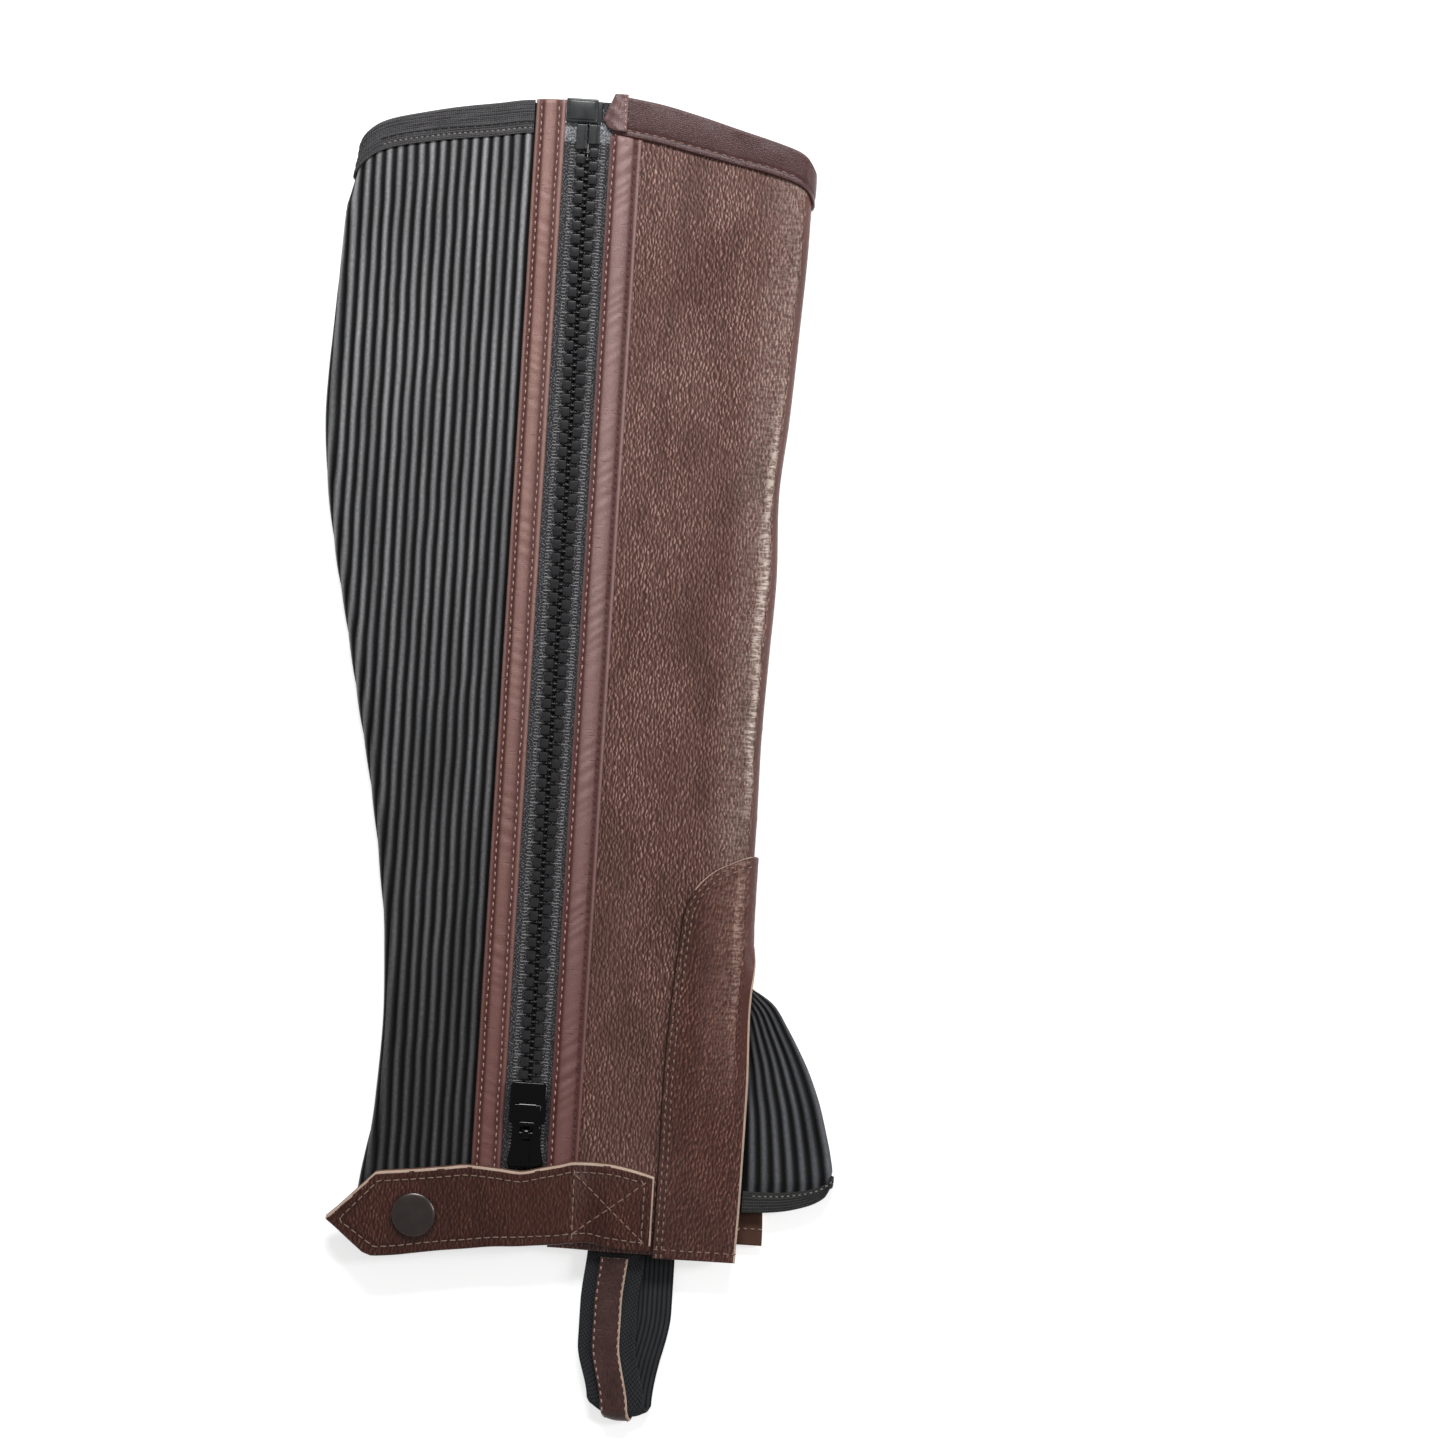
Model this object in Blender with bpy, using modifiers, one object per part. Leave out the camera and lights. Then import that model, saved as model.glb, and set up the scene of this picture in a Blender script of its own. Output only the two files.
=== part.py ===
"""Half chap for the right leg: a zipped leather and ribbed elastic gaiter that lies flat, outer side up.

The drawing is in millimetres. x runs across the leg from the middle of the zip, positive towards the
shin. v runs up the leg from the leather's hem. z is the height above the surface. Round the leg, u is the
distance along the panel's outer face from the middle of the zip, so that one u stays one line of the cloth
on the outer side, round a fold and on the inner side. The calf fold is at negative u.
"""
import math
from bisect import bisect_right
from functools import lru_cache

import bmesh
import bpy
from mathutils import Matrix, Vector

MM = 0.001

# Middle of the whole outline in the drawing, which becomes the origin.
MIDDLE_X = 11.475
MIDDLE_V = 178.225

# Walls and gaps.
GAP = 0.3
SEAM_GAP = 0.6
LEATHER = 2.0
ELASTIC = 1.8
BINDING = 0.9
PATCH = 1.3
STRIP_SHAPE = ((0.0, 1.2), (0.2, 1.9), (0.5, 1.9), (0.8, 1.9), (1.0, 1.2))
TAPE = 0.9
GUSSET = 1.2
GUSSET_BINDING = 0.7
WEBBING = 1.3
STRAP_LAYER = 1.35

# Folds of the flattened tube: outer radii.
SHIN_RADIUS = 3.9
CALF_RADIUS = 3.6
QUARTER = SHIN_RADIUS * math.pi / 2

# Room that the inner side leaves under itself for bindings and patch: (none here, full here).
KNEE_ROOM = (352, 374)
PATCH_ROOM_ACROSS = (33, 45)
PATCH_ROOM_UP = (164, 150)
HEM_ROOM_ACROSS = (-28, -40)
HEM_ROOM_UP = (32, 18)

# Ribs of the elastic. They end between the two depths from each edge, under its binding.
RIB_PITCH = 3.78
RIB_HEIGHT = 0.9
RIB_START = 19.8
MOST_RIBS = 24
RIB_END_HEM = (10.0, 12.0)
RIB_END_KNEE = (12.4, 14.4)
GUSSET_RIBS = 7
GUSSET_RIB_HEIGHT = 0.7

# Zip.
TAPE_EDGE = 9.5
TAPE_MIDDLE_GAP = 0.3
PANEL_EDGE = 9.8
STRIP_CALF = (-19.3, -8.6)
STRIP_SHIN = (7.8, 19.2)
CHAIN_HALF_WIDTH = 3.9
CHAIN_SHAPE = ((-1.0, 1.2), (-0.7, 1.8), (0.7, 1.8), (1.0, 1.2))
CHAIN_FOOT = 46.8
CHAIN_TOP = 395.6
TAPE_FOOT = 3.0
TAPE_TOP = 404.9
TAPE_END_TOP = 413.6
TAPE_END_EDGE = 4.9

# Box and pins at the knee end: x from and to, v from and to, heights over the tape.
BOX = ((-8.5, 4.4), (405.4, 414.2), (-1.2, 2.6))
PIN_CALF = ((-4.3, -0.4), (395.9, 405.0), (0.3, 2.5))
PIN_SHIN = ((0.0, 3.9), (398.0, 405.0), (0.3, 2.5))

# Slit at the instep: height up the leg, degrees that each half of the shin fold still turns.
SLIT_TOP = 114.0
SLIT_FLAT = 99.0
SLIT_SWEEP = ((0, 0), (SLIT_FLAT, 0), (104, 20), (109, 50), (SLIT_TOP, 90), (420, 90))
OUTER_HEM = 1.0
INNER_HEM = 5.8
FLAP_CORNER = 87.0

# Heights along the leg where all that lies on the panels has its rows.
ROWS = (0, 14, 30, 48, 66, 84, SLIT_FLAT, 104, 109, SLIT_TOP, 124, 134, 146, 160, 176, 200, 225, 250,
        275, 300, 325, 352, 364, 376, 396, 416)
ELASTIC_ROWS = (30, 48, 66, 84, 100, 114, 134, 160, 184, 208, 232, 256, 280, 302, 326, 352, 368)
LEVEL_FROM = 14
LEVEL_TO = 364
ROW_ROOM = 4

# Outline of the calf fold: height up the leg, x of the outermost rib.
CALF_EDGE = ((0, -62.5), (21, -59.5), (50, -55.6), (79, -54.5), (108, -55.9), (136, -59.5), (165, -64.6),
             (193, -70.7), (222, -76.8), (250, -82.9), (279, -87.5), (300, -88.8), (330, -87.8),
             (368, -85.9), (395, -81.9), (420, -81.0))

# Outline of the shin fold: height up the leg, x of the leather.
SHIN_EDGE = ((0, 75.4), (26, 76.0), (62, 76.2), (91, 75.4), (106, 76.0), (130, 75.6), (160, 75.8),
             (185, 75.6), (217, 76.5), (246, 77.5), (275, 76.5), (304, 78.6), (333, 80.1), (372, 81.6),
             (420, 81.7))

# Height of the outer face: height up the leg, middle of the calf panel, zip, middle of the leather.
FACE_HEIGHT = ((0, 6.4, 6.6, 9.6), (14, 6.4, 6.6, 9.6), (40, 5.9, 6.3, 6.8), (80, 5.5, 6.0, 5.8),
               (146, 5.5, 5.9, 5.6), (250, 5.6, 6.0, 5.5), (330, 5.8, 6.1, 5.7), (376, 8.2, 8.2, 8.2),
               (420, 8.2, 8.2, 8.2))

# Knee edge of the leather: u, height up the leg at the outside of its binding.
KNEE_LEATHER = ((8.0, 416.8), (13.9, 416.0), (24.8, 414.4), (39.5, 411.0), (54.2, 406.9), (68.9, 402.8),
                (76.5, 400.2), (79.2, 398.4), (82.0, 394.9), (86.0, 392.0), (90.0, 391.0), (165.0, 394.5),
                (245.0, 391.0))

# Knee edge of the elastic: u, height up the leg at the outside of its binding.
KNEE_ELASTIC = ((-105.0, 391.0), (-90.0, 391.0), (-86.0, 392.0), (-82.5, 394.5), (-78.8, 398.6),
                (-75.3, 401.3), (-70.1, 403.5), (-61.2, 405.8), (-47.0, 408.9), (-32.7, 411.2),
                (-21.6, 413.0), (-9.0, 413.6))

# Bindings: depth of the outer and the inner flap, and how much the outer one narrows towards the fold.
KNEE_LEATHER_FLAPS = (13.2, 8.0, 2.2)
KNEE_ELASTIC_FLAPS = (11.0, 8.0, 1.4)
ANKLE_FLAPS = (8.0, 7.0, 0.0)
FLAP_NARROWS = (30, 75)
ELASTIC_HEM = 4.2

# Places of the bindings' sections: u on the outer side, then shares of the way to the back seam.
KNEE_LEATHER_PLACES = (8.4, 13.9, 20, 27, 34, 41, 48, 55, 62, 69, 73, 76)
KNEE_LEATHER_BACK = (0.08, 0.25, 0.42, 0.6, 0.8, 1.0)
KNEE_ELASTIC_PLACES = (-19.9, -26, -33, -40, -47, -54, -61, -67, -71, -73.5, -75, -76.3)
ANKLE_PLACES = (-20.2, -28, -36, -42, -46, -49, -52, -55)
BINDING_SEAM = 1.2

# Patch over the shin: height up the leg, u of its sewn edge on the outer side.
PATCH_EDGE = ((0, 47.6), (35, 47.9), (60, 47.7), (84, 48.3), (96, 49.0), (107, 49.8), (116, 50.6),
              (124, 51.4), (130, 53.2), (134, 55.6), (138, 59.2), (141, 63.2), (143.2, 67.6),
              (145, 71.4), (146, 74.2))
PATCH_ROWS = (0, 14, 30, 48, 66, 84, SLIT_FLAT, 104, 109, SLIT_TOP, 124, 129, 134, 138, 141, 143.2,
              145, 146)
PATCH_NARROWEST = 1.2

# Fold of the gusset, from the slit's upper end to the hem: x, height up the leg.
GUSSET_FOLD = ((74.2, 101.6), (78.3, 98.2), (85.9, 92.6), (91.1, 84.9), (96.4, 75.9), (99.9, 69.2),
               (104.6, 57.6), (107.5, 47.7), (109.5, 39.9), (110.7, 33.1), (110.4, 29.0))
GUSSET_ROOT = ((71.0, 101.0), (70.4, 18.6))
GUSSET_HEM = ((70.4, 18.6), (79.5, 18.8), (86.7, 19.2), (93.5, 20.0), (99.1, 21.3), (104.4, 23.2),
              (108.6, 26.0), (110.4, 29.0))
GUSSET_FLAPS = (7.4, 0.0)
GUSSET_ROOT_LOW = 4.1
GUSSET_ROOT_HIGH = 6.95
GUSSET_FOLD_HEIGHT = 5.0
GUSSET_HEM_LIFT = 1.0
GUSSET_OPENS = (0.12, 0.45)
GUSSET_SETTLES = (0.45, 0.08)
GUSSET_LIFTS = (0.75, 0.88)
GUSSET_CLEAR = 1.2
GUSSET_CLEAR_INNER = 1.8
GUSSET_DOWN = (0.0, 0.08, 0.18, 0.3, 0.44, 0.58, 0.72, 0.84, 0.92, 1.0)
GUSSET_BOUND = (0.205, 0.3, 0.4, 0.5, 0.6, 0.7, 0.78, 0.85, 0.9, 0.93, 0.96, 0.99, 1.02, 1.05, 1.08,
                1.12, 1.2, 1.28, 1.36, 1.45, 1.54)

# Ankle strap: x, lower edge, upper edge, height of its under side.
STRAP = ((-70.2, 6.6, 7.6, 6.4), (-66.0, 3.7, 11.5, 7.9), (-61.0, -0.1, 16.7, 9.5),
         (-56.0, -3.9, 21.9, 10.5), (-52.9, -4.9, 25.1, 10.8), (-45.0, -4.2, 26.2, 10.8),
         (-37.6, -3.0, 27.1, 10.8), (-29.0, -1.6, 28.3, 10.8), (-19.7, -0.4, 29.5, 10.6),
         (-8.8, 1.1, 28.9, 10.8), (-1.6, 1.6, 28.3, 11.0), (7.3, 2.5, 30.3, 10.8),
         (13.0, 3.0, 31.6, 10.3), (18.0, 3.8, 32.8, 10.2), (24.0, 4.2, 32.7, 9.7),
         (30.6, 3.2, 32.5, 9.3), (38.0, 2.6, 31.4, 9.5), (42.5, 2.2, 30.4, 9.6), (47.0, 2.5, 29.2, 9.8))
STRAP_ACROSS = (0.0, 0.03, 0.3, 0.7, 0.97, 1.0)
BACKING_MARGIN = 0.25
STRAP_SEAT = 0.4

# Snap on the strap.
SNAP = (-38.3, 11.0)
SNAP_RADIUS = 7.9
SNAP_HEIGHT = 2.0
STUD_RADIUS = 5.5

# Foot loop: share of the webbing's width, height of its lowest point.
LOOP_BEND = ((0.0, -51.5), (0.25, -56.8), (0.5, -58.6), (0.75, -58.7), (1.0, -56.6))
LOOP_LEFT = 24.6
LOOP_WIDTH = 20.8
LOOP_SHIFT = 10.6
LOOP_SHARES = (0.0, 0.03, 0.12, 0.24, 0.36, 0.48, 0.60, 0.72, 0.86, 0.97, 1.0)
LOOP_STRIP_SHARES = (0.24, 0.36, 0.48, 0.60, 0.72)
LOOP_UNDER = 1.6
LOOP_INSIDE = 1.6
LOOP_SEAM_GAP = 0.5
LOOP_STRIP = 1.3
LOOP_STRIP_TOP = 0.5

# Slider and pull tab.
SLIDER_FOOT = 29.0
SLIDER_HEAD = 45.4
SLIDER_RISE = 3.8
SLIDER_HALF = ((4.4, SLIDER_HEAD), (5.1, SLIDER_HEAD - 1.4), (5.4, 37.2), (6.4, SLIDER_FOOT + 3.4),
               (6.4, SLIDER_FOOT + 1.2), (5.4, SLIDER_FOOT), (1.2, SLIDER_FOOT + 0.6))
PULL_AXIS_V = 42.0
PULL_AXIS_RISE = 5.4
PULL_TILT = math.radians(6.5)
PULL_WIDTH = 13.2
PULL_THICKNESS = 1.5
PULL_START = 3.0
PULL_END = 18.4
PULL_PIN_RADIUS = 0.8
PULL_ARM = (2.0, 3.9)
BRIDGE_RADIUS = 2.4
BRIDGE_BORE = 1.15
BRIDGE_WIDTH = 2.8


class Curve:
    """Smooth curve through the rows of a table, with no overshoot between them."""

    def __init__(self, rows, column=1):
        self.at = [row[0] for row in rows]
        self.value = [row[column] for row in rows]
        steps = []
        for k in range(len(rows) - 1):
            steps.append((self.value[k + 1] - self.value[k]) / (self.at[k + 1] - self.at[k]))
        self.slope = [steps[0]]
        for before, after in zip(steps, steps[1:]):
            level = before * after <= 0
            self.slope.append(0.0 if level else 2 * before * after / (before + after))
        self.slope.append(steps[-1])

    def __call__(self, t):
        if t <= self.at[0]:
            return self.value[0]
        if t >= self.at[-1]:
            return self.value[-1]
        k = bisect_right(self.at, t) - 1
        width = self.at[k + 1] - self.at[k]
        s = (t - self.at[k]) / width
        a, b = self.value[k], self.value[k + 1]
        p, q = self.slope[k] * width, self.slope[k + 1] * width
        return a + p * s + (3 * (b - a) - 2 * p - q) * s ** 2 + (2 * (a - b) + p + q) * s ** 3


def ease(start, end, t):
    """0 before start, 1 after end, and a soft step between; start may be the larger one."""
    s = min(max((t - start) / (end - start), 0.0), 1.0)
    return s * s * (3 - 2 * s)


def mix(a, b, share):
    return a + (b - a) * share


calf_edge = Curve(CALF_EDGE)
shin_edge = Curve(SHIN_EDGE)
calf_middle_height = Curve(FACE_HEIGHT, 1)
zip_height = Curve(FACE_HEIGHT, 2)
shin_middle_height = Curve(FACE_HEIGHT, 3)
knee_leather = Curve(KNEE_LEATHER)
knee_elastic = Curve(KNEE_ELASTIC)
patch_edge = Curve(PATCH_EDGE)
gusset_hem = Curve(GUSSET_HEM)
strap_low = Curve(STRAP, 1)
strap_high = Curve(STRAP, 2)
strap_under = Curve(STRAP, 3)
loop_bend = Curve(LOOP_BEND)


def slit_sweep(v):
    """Degrees that each half of the shin fold turns, straight between the table's rows."""
    for (low, a), (high, b) in zip(SLIT_SWEEP, SLIT_SWEEP[1:]):
        if v <= high:
            return mix(a, b, max(v - low, 0.0) / (high - low))
    return SLIT_SWEEP[-1][1]


def lift(x, v):
    """Height of the inner side's panel above the surface, which makes room for what lies under it."""
    knee = (BINDING + GAP) * ease(*KNEE_ROOM, v)
    patch = (PATCH + GAP) * ease(*PATCH_ROOM_ACROSS, x) * ease(*PATCH_ROOM_UP, v)
    hem = (BINDING + GAP) * ease(*HEM_ROOM_ACROSS, x) * ease(*HEM_ROOM_UP, v)
    return knee + patch + hem


@lru_cache(maxsize=None)
def section(v):
    """Fold middles, the outer face between them and the sweep of the flaps at one height."""
    shin = shin_edge(v) - SHIN_RADIUS
    calf = calf_edge(v) + RIB_HEIGHT + CALF_RADIUS
    face = Curve((
        (calf - CALF_RADIUS, lift(calf, v) + 2 * CALF_RADIUS),
        (calf, lift(calf, v) + 2 * CALF_RADIUS),
        (calf * 0.55, calf_middle_height(v)),
        (-12, zip_height(v)),
        (12, zip_height(v)),
        (shin * 0.5, shin_middle_height(v)),
        (shin, lift(shin, v) + 2 * SHIN_RADIUS),
        (shin + SHIN_RADIUS, lift(shin, v) + 2 * SHIN_RADIUS),
    ))
    return shin, calf, face, max(math.radians(slit_sweep(v)), 0.001)


def inner_flap_reach(v):
    """How far the inner flap's cut edge stands out past the outer flap's."""
    return ease(SLIT_FLAT, INNER_HEM, v) * (FLAP_CORNER - shin_edge(v) + SHIN_RADIUS - QUARTER)


def shin_fold_point(u, v, out):
    """Point on the shin fold, whose two halves unroll into flaps below the slit's upper end."""
    shin, _, face, sweep = section(v)
    outer_side = u <= shin + QUARTER
    along = u - shin if outer_side else shin + 2 * QUARTER - u
    radius = QUARTER / sweep
    turn = along / radius
    x = shin + radius * math.sin(turn)
    drop = radius * (1 - math.cos(turn))
    if outer_side:
        return (x + out * math.sin(turn), v, face(shin) - drop + out * math.cos(turn))
    x += inner_flap_reach(v) * along / QUARTER
    return (x + out * math.sin(turn), v, lift(shin, v) + drop - out * math.cos(turn))


def panel_point(u, v, out=0.0):
    """Point at distance out from the outer face of the flattened leg."""
    shin, calf, face, _ = section(v)
    if u > shin + 2 * QUARTER:
        x = 2 * shin + 2 * QUARTER - u
        return (x, v, lift(x, v) - out)
    if u > shin:
        return shin_fold_point(u, v, out)
    if u >= calf:
        return (u, v, face(u) + out)
    turn = (calf - u) / CALF_RADIUS
    if turn <= math.pi:
        low = lift(calf, v) + CALF_RADIUS
        reach = CALF_RADIUS + out
        return (calf - reach * math.sin(turn), v, low + reach * math.cos(turn))
    x = calf + (calf - u) - math.pi * CALF_RADIUS
    return (x, v, lift(x, v) - out)


def back_seam(v):
    """u of the back seam on the inner side, seen from the elastic and from the leather."""
    shin, calf, _, _ = section(v)
    x = calf_edge(v) + 10
    from_calf = calf - math.pi * CALF_RADIUS - (x - calf)
    from_shin = 2 * shin + 2 * QUARTER - x
    return from_calf + SEAM_GAP / 2, from_shin - SEAM_GAP / 2


class Solid:
    """Vertices and faces of one closed body, collected row by row."""

    def __init__(self):
        self.points = []
        self.faces = []
        self.seen = {}

    def vertex(self, point, partner=None):
        """Index of a point; the same place with the same partner gives the same index."""
        key = tuple(round(c, 3) for c in point + (partner or point))
        if key not in self.seen:
            self.seen[key] = len(self.points)
            self.points.append(point)
        return self.seen[key]

    def face(self, *corners):
        loop = [c for k, c in enumerate(corners) if c != corners[k - 1]]
        if len(set(loop)) >= 3:
            self.faces.append(loop)

    def stitch(self, row_a, row_b):
        """Join two rows of (place, index) pairs, whose numbers of points may differ."""
        i = j = 0
        while i < len(row_a) - 1 or j < len(row_b) - 1:
            next_a = row_a[i + 1][0] if i < len(row_a) - 1 else math.inf
            next_b = row_b[j + 1][0] if j < len(row_b) - 1 else math.inf
            if abs(next_a - next_b) < 1e-3:
                self.face(row_a[i][1], row_a[i + 1][1], row_b[j + 1][1])
                self.face(row_a[i][1], row_b[j + 1][1], row_b[j][1])
                i += 1
                j += 1
            elif next_a < next_b:
                self.face(row_a[i][1], row_a[i + 1][1], row_b[j][1])
                i += 1
            else:
                self.face(row_a[i][1], row_b[j + 1][1], row_b[j][1])
                j += 1

    def mesh(self, name):
        data = bpy.data.meshes.new(name)
        data.from_pydata([Vector(p) * MM for p in self.points], [], self.faces)
        work = bmesh.new()
        work.from_mesh(data)
        bmesh.ops.triangulate(work, faces=[f for f in work.faces if len(f.verts) > 4])
        bmesh.ops.recalc_face_normals(work, faces=work.faces)
        work.to_mesh(data)
        work.free()
        return data


def walled(sheets):
    """Solid of a sheet with a wall: each row is a list of (place, outer point, inner point)."""
    body = Solid()
    inner_of = {}
    for rows in sheets:
        indexed = []
        for row in rows:
            line = []
            for place, outer, inner in row:
                index = body.vertex(outer, inner)
                inner_of[index] = inner
                line.append((place, index))
            indexed.append(line)
        for a, b in zip(indexed, indexed[1:]):
            body.stitch(a, b)
    outer_faces = list(body.faces)
    twin = {}
    for index, inner in inner_of.items():
        twin[index] = len(body.points)
        body.points.append(inner)
    used = {}
    for loop in outer_faces:
        body.faces.append([twin[c] for c in reversed(loop)])
        for k, c in enumerate(loop):
            edge = (loop[k - 1], c)
            used[edge] = used.get(edge, 0) + 1
    for a, b in used:
        if (b, a) not in used:
            body.face(b, a, twin[a], twin[b])
    return body


def two_faced(outer_rows, inner_rows):
    """Solid between a fine outer face and a plainer inner face; rows of (place, point)."""
    body = Solid()

    def indexed(rows):
        return [[(place, body.vertex(point)) for place, point in row] for row in rows]

    outer, inner = indexed(outer_rows), indexed(inner_rows)
    for rows in (outer, inner):
        for a, b in zip(rows, rows[1:]):
            body.stitch(a, b)
    body.stitch(outer[0], inner[0])
    body.stitch(outer[-1], inner[-1])
    for k in range(len(outer) - 1):
        body.face(outer[k][0][1], outer[k + 1][0][1], inner[k + 1][0][1], inner[k][0][1])
        body.face(outer[k][-1][1], outer[k + 1][-1][1], inner[k + 1][-1][1], inner[k][-1][1])
    return body


def swept(sections):
    """Solid through a row of closed sections with equal numbers of points."""
    body = Solid()
    rings = [[body.vertex(p) for p in ring] for ring in sections]
    for a, b in zip(rings, rings[1:]):
        for k in range(len(a)):
            body.face(a[k - 1], a[k], b[k], b[k - 1])
    body.faces.append(rings[0])
    body.faces.append(list(reversed(rings[-1])))
    return body


def material(name, color, roughness, metallic=0.0):
    """Principled material with an sRGB colour given from 0 to 255."""
    found = bpy.data.materials.get(name)
    if found:
        return found
    made = bpy.data.materials.new(name)
    made.use_nodes = True
    shader = made.node_tree.nodes["Principled BSDF"]
    linear = [(c / 255) ** 2.2 for c in color]
    shader.inputs["Base Color"].default_value = (*linear, 1.0)
    shader.inputs["Roughness"].default_value = roughness
    shader.inputs["Metallic"].default_value = metallic
    return made


def pebbled_leather():
    return material("pebbled_leather", (88, 61, 53), 0.45)


def smooth_leather():
    return material("smooth_leather", (96, 70, 66), 0.5)


def black_elastic():
    return material("black_elastic", (48, 49, 52), 0.85)


def black_plastic():
    return material("black_plastic", (28, 28, 30), 0.35)


def dark_metal():
    return material("dark_metal", (52, 48, 47), 0.3, 0.9)


def place(name, data, finish, sharp=40):
    """Object of the half chap, moved from the drawing to the origin's frame."""
    piece = bpy.data.objects.new(name, data)
    bpy.data.collections["half_chap"].objects.link(piece)
    data.transform(Matrix.Translation((-MIDDLE_X * MM, -MIDDLE_V * MM, 0)))
    data.materials.clear()
    data.materials.append(finish)
    data.shade_smooth()
    data.set_sharp_from_angle(angle=math.radians(sharp))
    return piece


def add(name, body, finish):
    return place(name, body.mesh(name), finish)


def row_height(row, hem, top):
    """Height of a row that is level in the middle and follows the hem and the knee edge at its ends."""
    if row < LEVEL_FROM:
        return mix(hem, LEVEL_FROM, row / LEVEL_FROM)
    if row > LEVEL_TO:
        return mix(LEVEL_TO, top, (row - LEVEL_TO) / (ROWS[-1] - LEVEL_TO))
    return float(row)


TOP_SHARES = (0, 0.07, 0.15, 0.25, 0.36, 0.47, 0.58, 0.68, 0.77, 0.85, 0.93, 1)
FOLD_SHARES = (1 / 3, 2 / 3, 1)
JUST_PAST = 1e-9
BACK_SHARES = (0.04, 0.12, 0.22, 0.32, 0.42, 0.56, 0.7, 0.85, 1)


def outer_columns(v):
    """u of the leather's columns from the zip to the middle of the shin fold."""
    shin = section(v)[0]
    flat = [mix(PANEL_EDGE, shin, s) for s in TOP_SHARES]
    return flat + [shin + QUARTER * s for s in FOLD_SHARES]


def inner_columns(v):
    """u of the leather's columns from the middle of the shin fold to the back seam."""
    shin = section(v)[0]
    start = shin + 2 * QUARTER
    fold = [shin + QUARTER * (1 + s) for s in (JUST_PAST,) + FOLD_SHARES]
    return fold + [mix(start, back_seam(v)[1], s) for s in BACK_SHARES]


def wall_row(columns, row, hem, top):
    """Row of the leather's wall; top gives the height of the knee edge at a u."""
    line = []
    for k, u_at in enumerate(columns(min(float(row), LEVEL_TO + 30))):
        v = row_height(row, hem, top(u_at))
        u = columns(v)[k]
        line.append((float(k), panel_point(u, v), panel_point(u, v, -LEATHER)))
    return line


def leather_edge(u):
    """Height of the leather's own knee edge inside its binding."""
    return knee_leather(u) - GAP - BINDING


def leather_panel():
    """Main leather panel: outer side, shin fold, inner side, and the two flaps of the slit."""
    outer = [wall_row(outer_columns, r, OUTER_HEM, leather_edge) for r in ROWS]
    inner = [wall_row(inner_columns, r, INNER_HEM, leather_edge) for r in ROWS]
    add("leather_panel", walled((outer, inner)), pebbled_leather())


def rib_height(u, v, hem, top, shallow):
    """Share of the full rib height: none under bindings and where the panel rests on the surface."""
    calf = section(v)[1]
    under = (calf - u) / CALF_RADIUS
    ends = ease(hem + RIB_END_HEM[0], hem + RIB_END_HEM[1], v)
    ends *= ease(top - RIB_END_KNEE[0], top - RIB_END_KNEE[1], v)
    return shallow * ends * (1 - ease(math.pi * 0.5, math.pi * 0.85, under))


def elastic_edge(u):
    """Height of the elastic's own knee edge inside its binding."""
    return knee_elastic(u) - GAP - BINDING


def elastic_heights():
    """Functions of u that give the height of each row of the elastic, from the hem to the knee."""
    hem = [lambda u, rise=rise: ELASTIC_HEM + rise for rise in (0.0, *RIB_END_HEM)]
    level = [lambda u, row=row: float(row) for row in ELASTIC_ROWS]
    knee = [lambda u, drop=drop: elastic_edge(u) - drop for drop in (*reversed(RIB_END_KNEE), 0.0)]
    return hem + level + knee


def elastic_panel():
    """Ribbed calf panel from the zip round the calf fold to the back seam."""
    stations = [(PANEL_EDGE, 0.0, True), ((PANEL_EDGE + RIB_START) / 2, 0.0, True)]
    for k in range(MOST_RIBS):
        for part, share in ((0, 0.0), (1, 1.0), (2, 1.0)):
            stations.append((RIB_START + (k + part / 3) * RIB_PITCH, share, part == 0))
    outer_rows, inner_rows = [], []
    for height in elastic_heights():
        outer, inner = [], []
        for u, share, valley in stations:
            v = height(-u)
            if u > -back_seam(v)[0] - SEAM_GAP:
                break
            rise = RIB_HEIGHT * rib_height(-u, v, ELASTIC_HEM, elastic_edge(-u), share)
            outer.append((u, panel_point(-u, v, rise)))
            if valley or -u < section(v)[1]:
                inner.append((u, panel_point(-u, v, -ELASTIC)))
        v = height(-u)
        end = back_seam(v)[0]
        outer.append((-end, panel_point(end, v, 0.0)))
        inner.append((-end, panel_point(end, v, -ELASTIC)))
        outer_rows.append(outer)
        inner_rows.append(inner)
    add("elastic_panel", two_faced(outer_rows, inner_rows), black_elastic())


def below_knee_binding(u):
    """Height just below the leather binding's outer flap."""
    return knee_leather(u) - GAP - BINDING - KNEE_LEATHER_FLAPS[0] - GAP


def strip(name, span, top):
    """Narrow leather strip that lies on the outer face along the zip, thicker in its middle."""
    rows = []
    for level in heights_between(TAPE_FOOT, top(span[1])):
        row = []
        for share, thick in STRIP_SHAPE:
            u = mix(span[0], span[1], share)
            v = top(u) if level == top(span[1]) else level
            row.append(wall_at(u, v, share, GAP + thick, GAP))
        rows.append(row)
    add(name, walled((rows,)), smooth_leather())


def heights_between(foot, top):
    """Rows of a piece along the zip: its two ends and the panels' rows between them."""
    return [foot] + [float(r) for r in ROWS if foot + ROW_ROOM < r < top - ROW_ROOM] + [top]


def wall_at(u, v, place, far, near):
    """Place, outer point and inner point of a wall at one u and v."""
    return (place, panel_point(u, v, far), panel_point(u, v, near))


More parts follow.
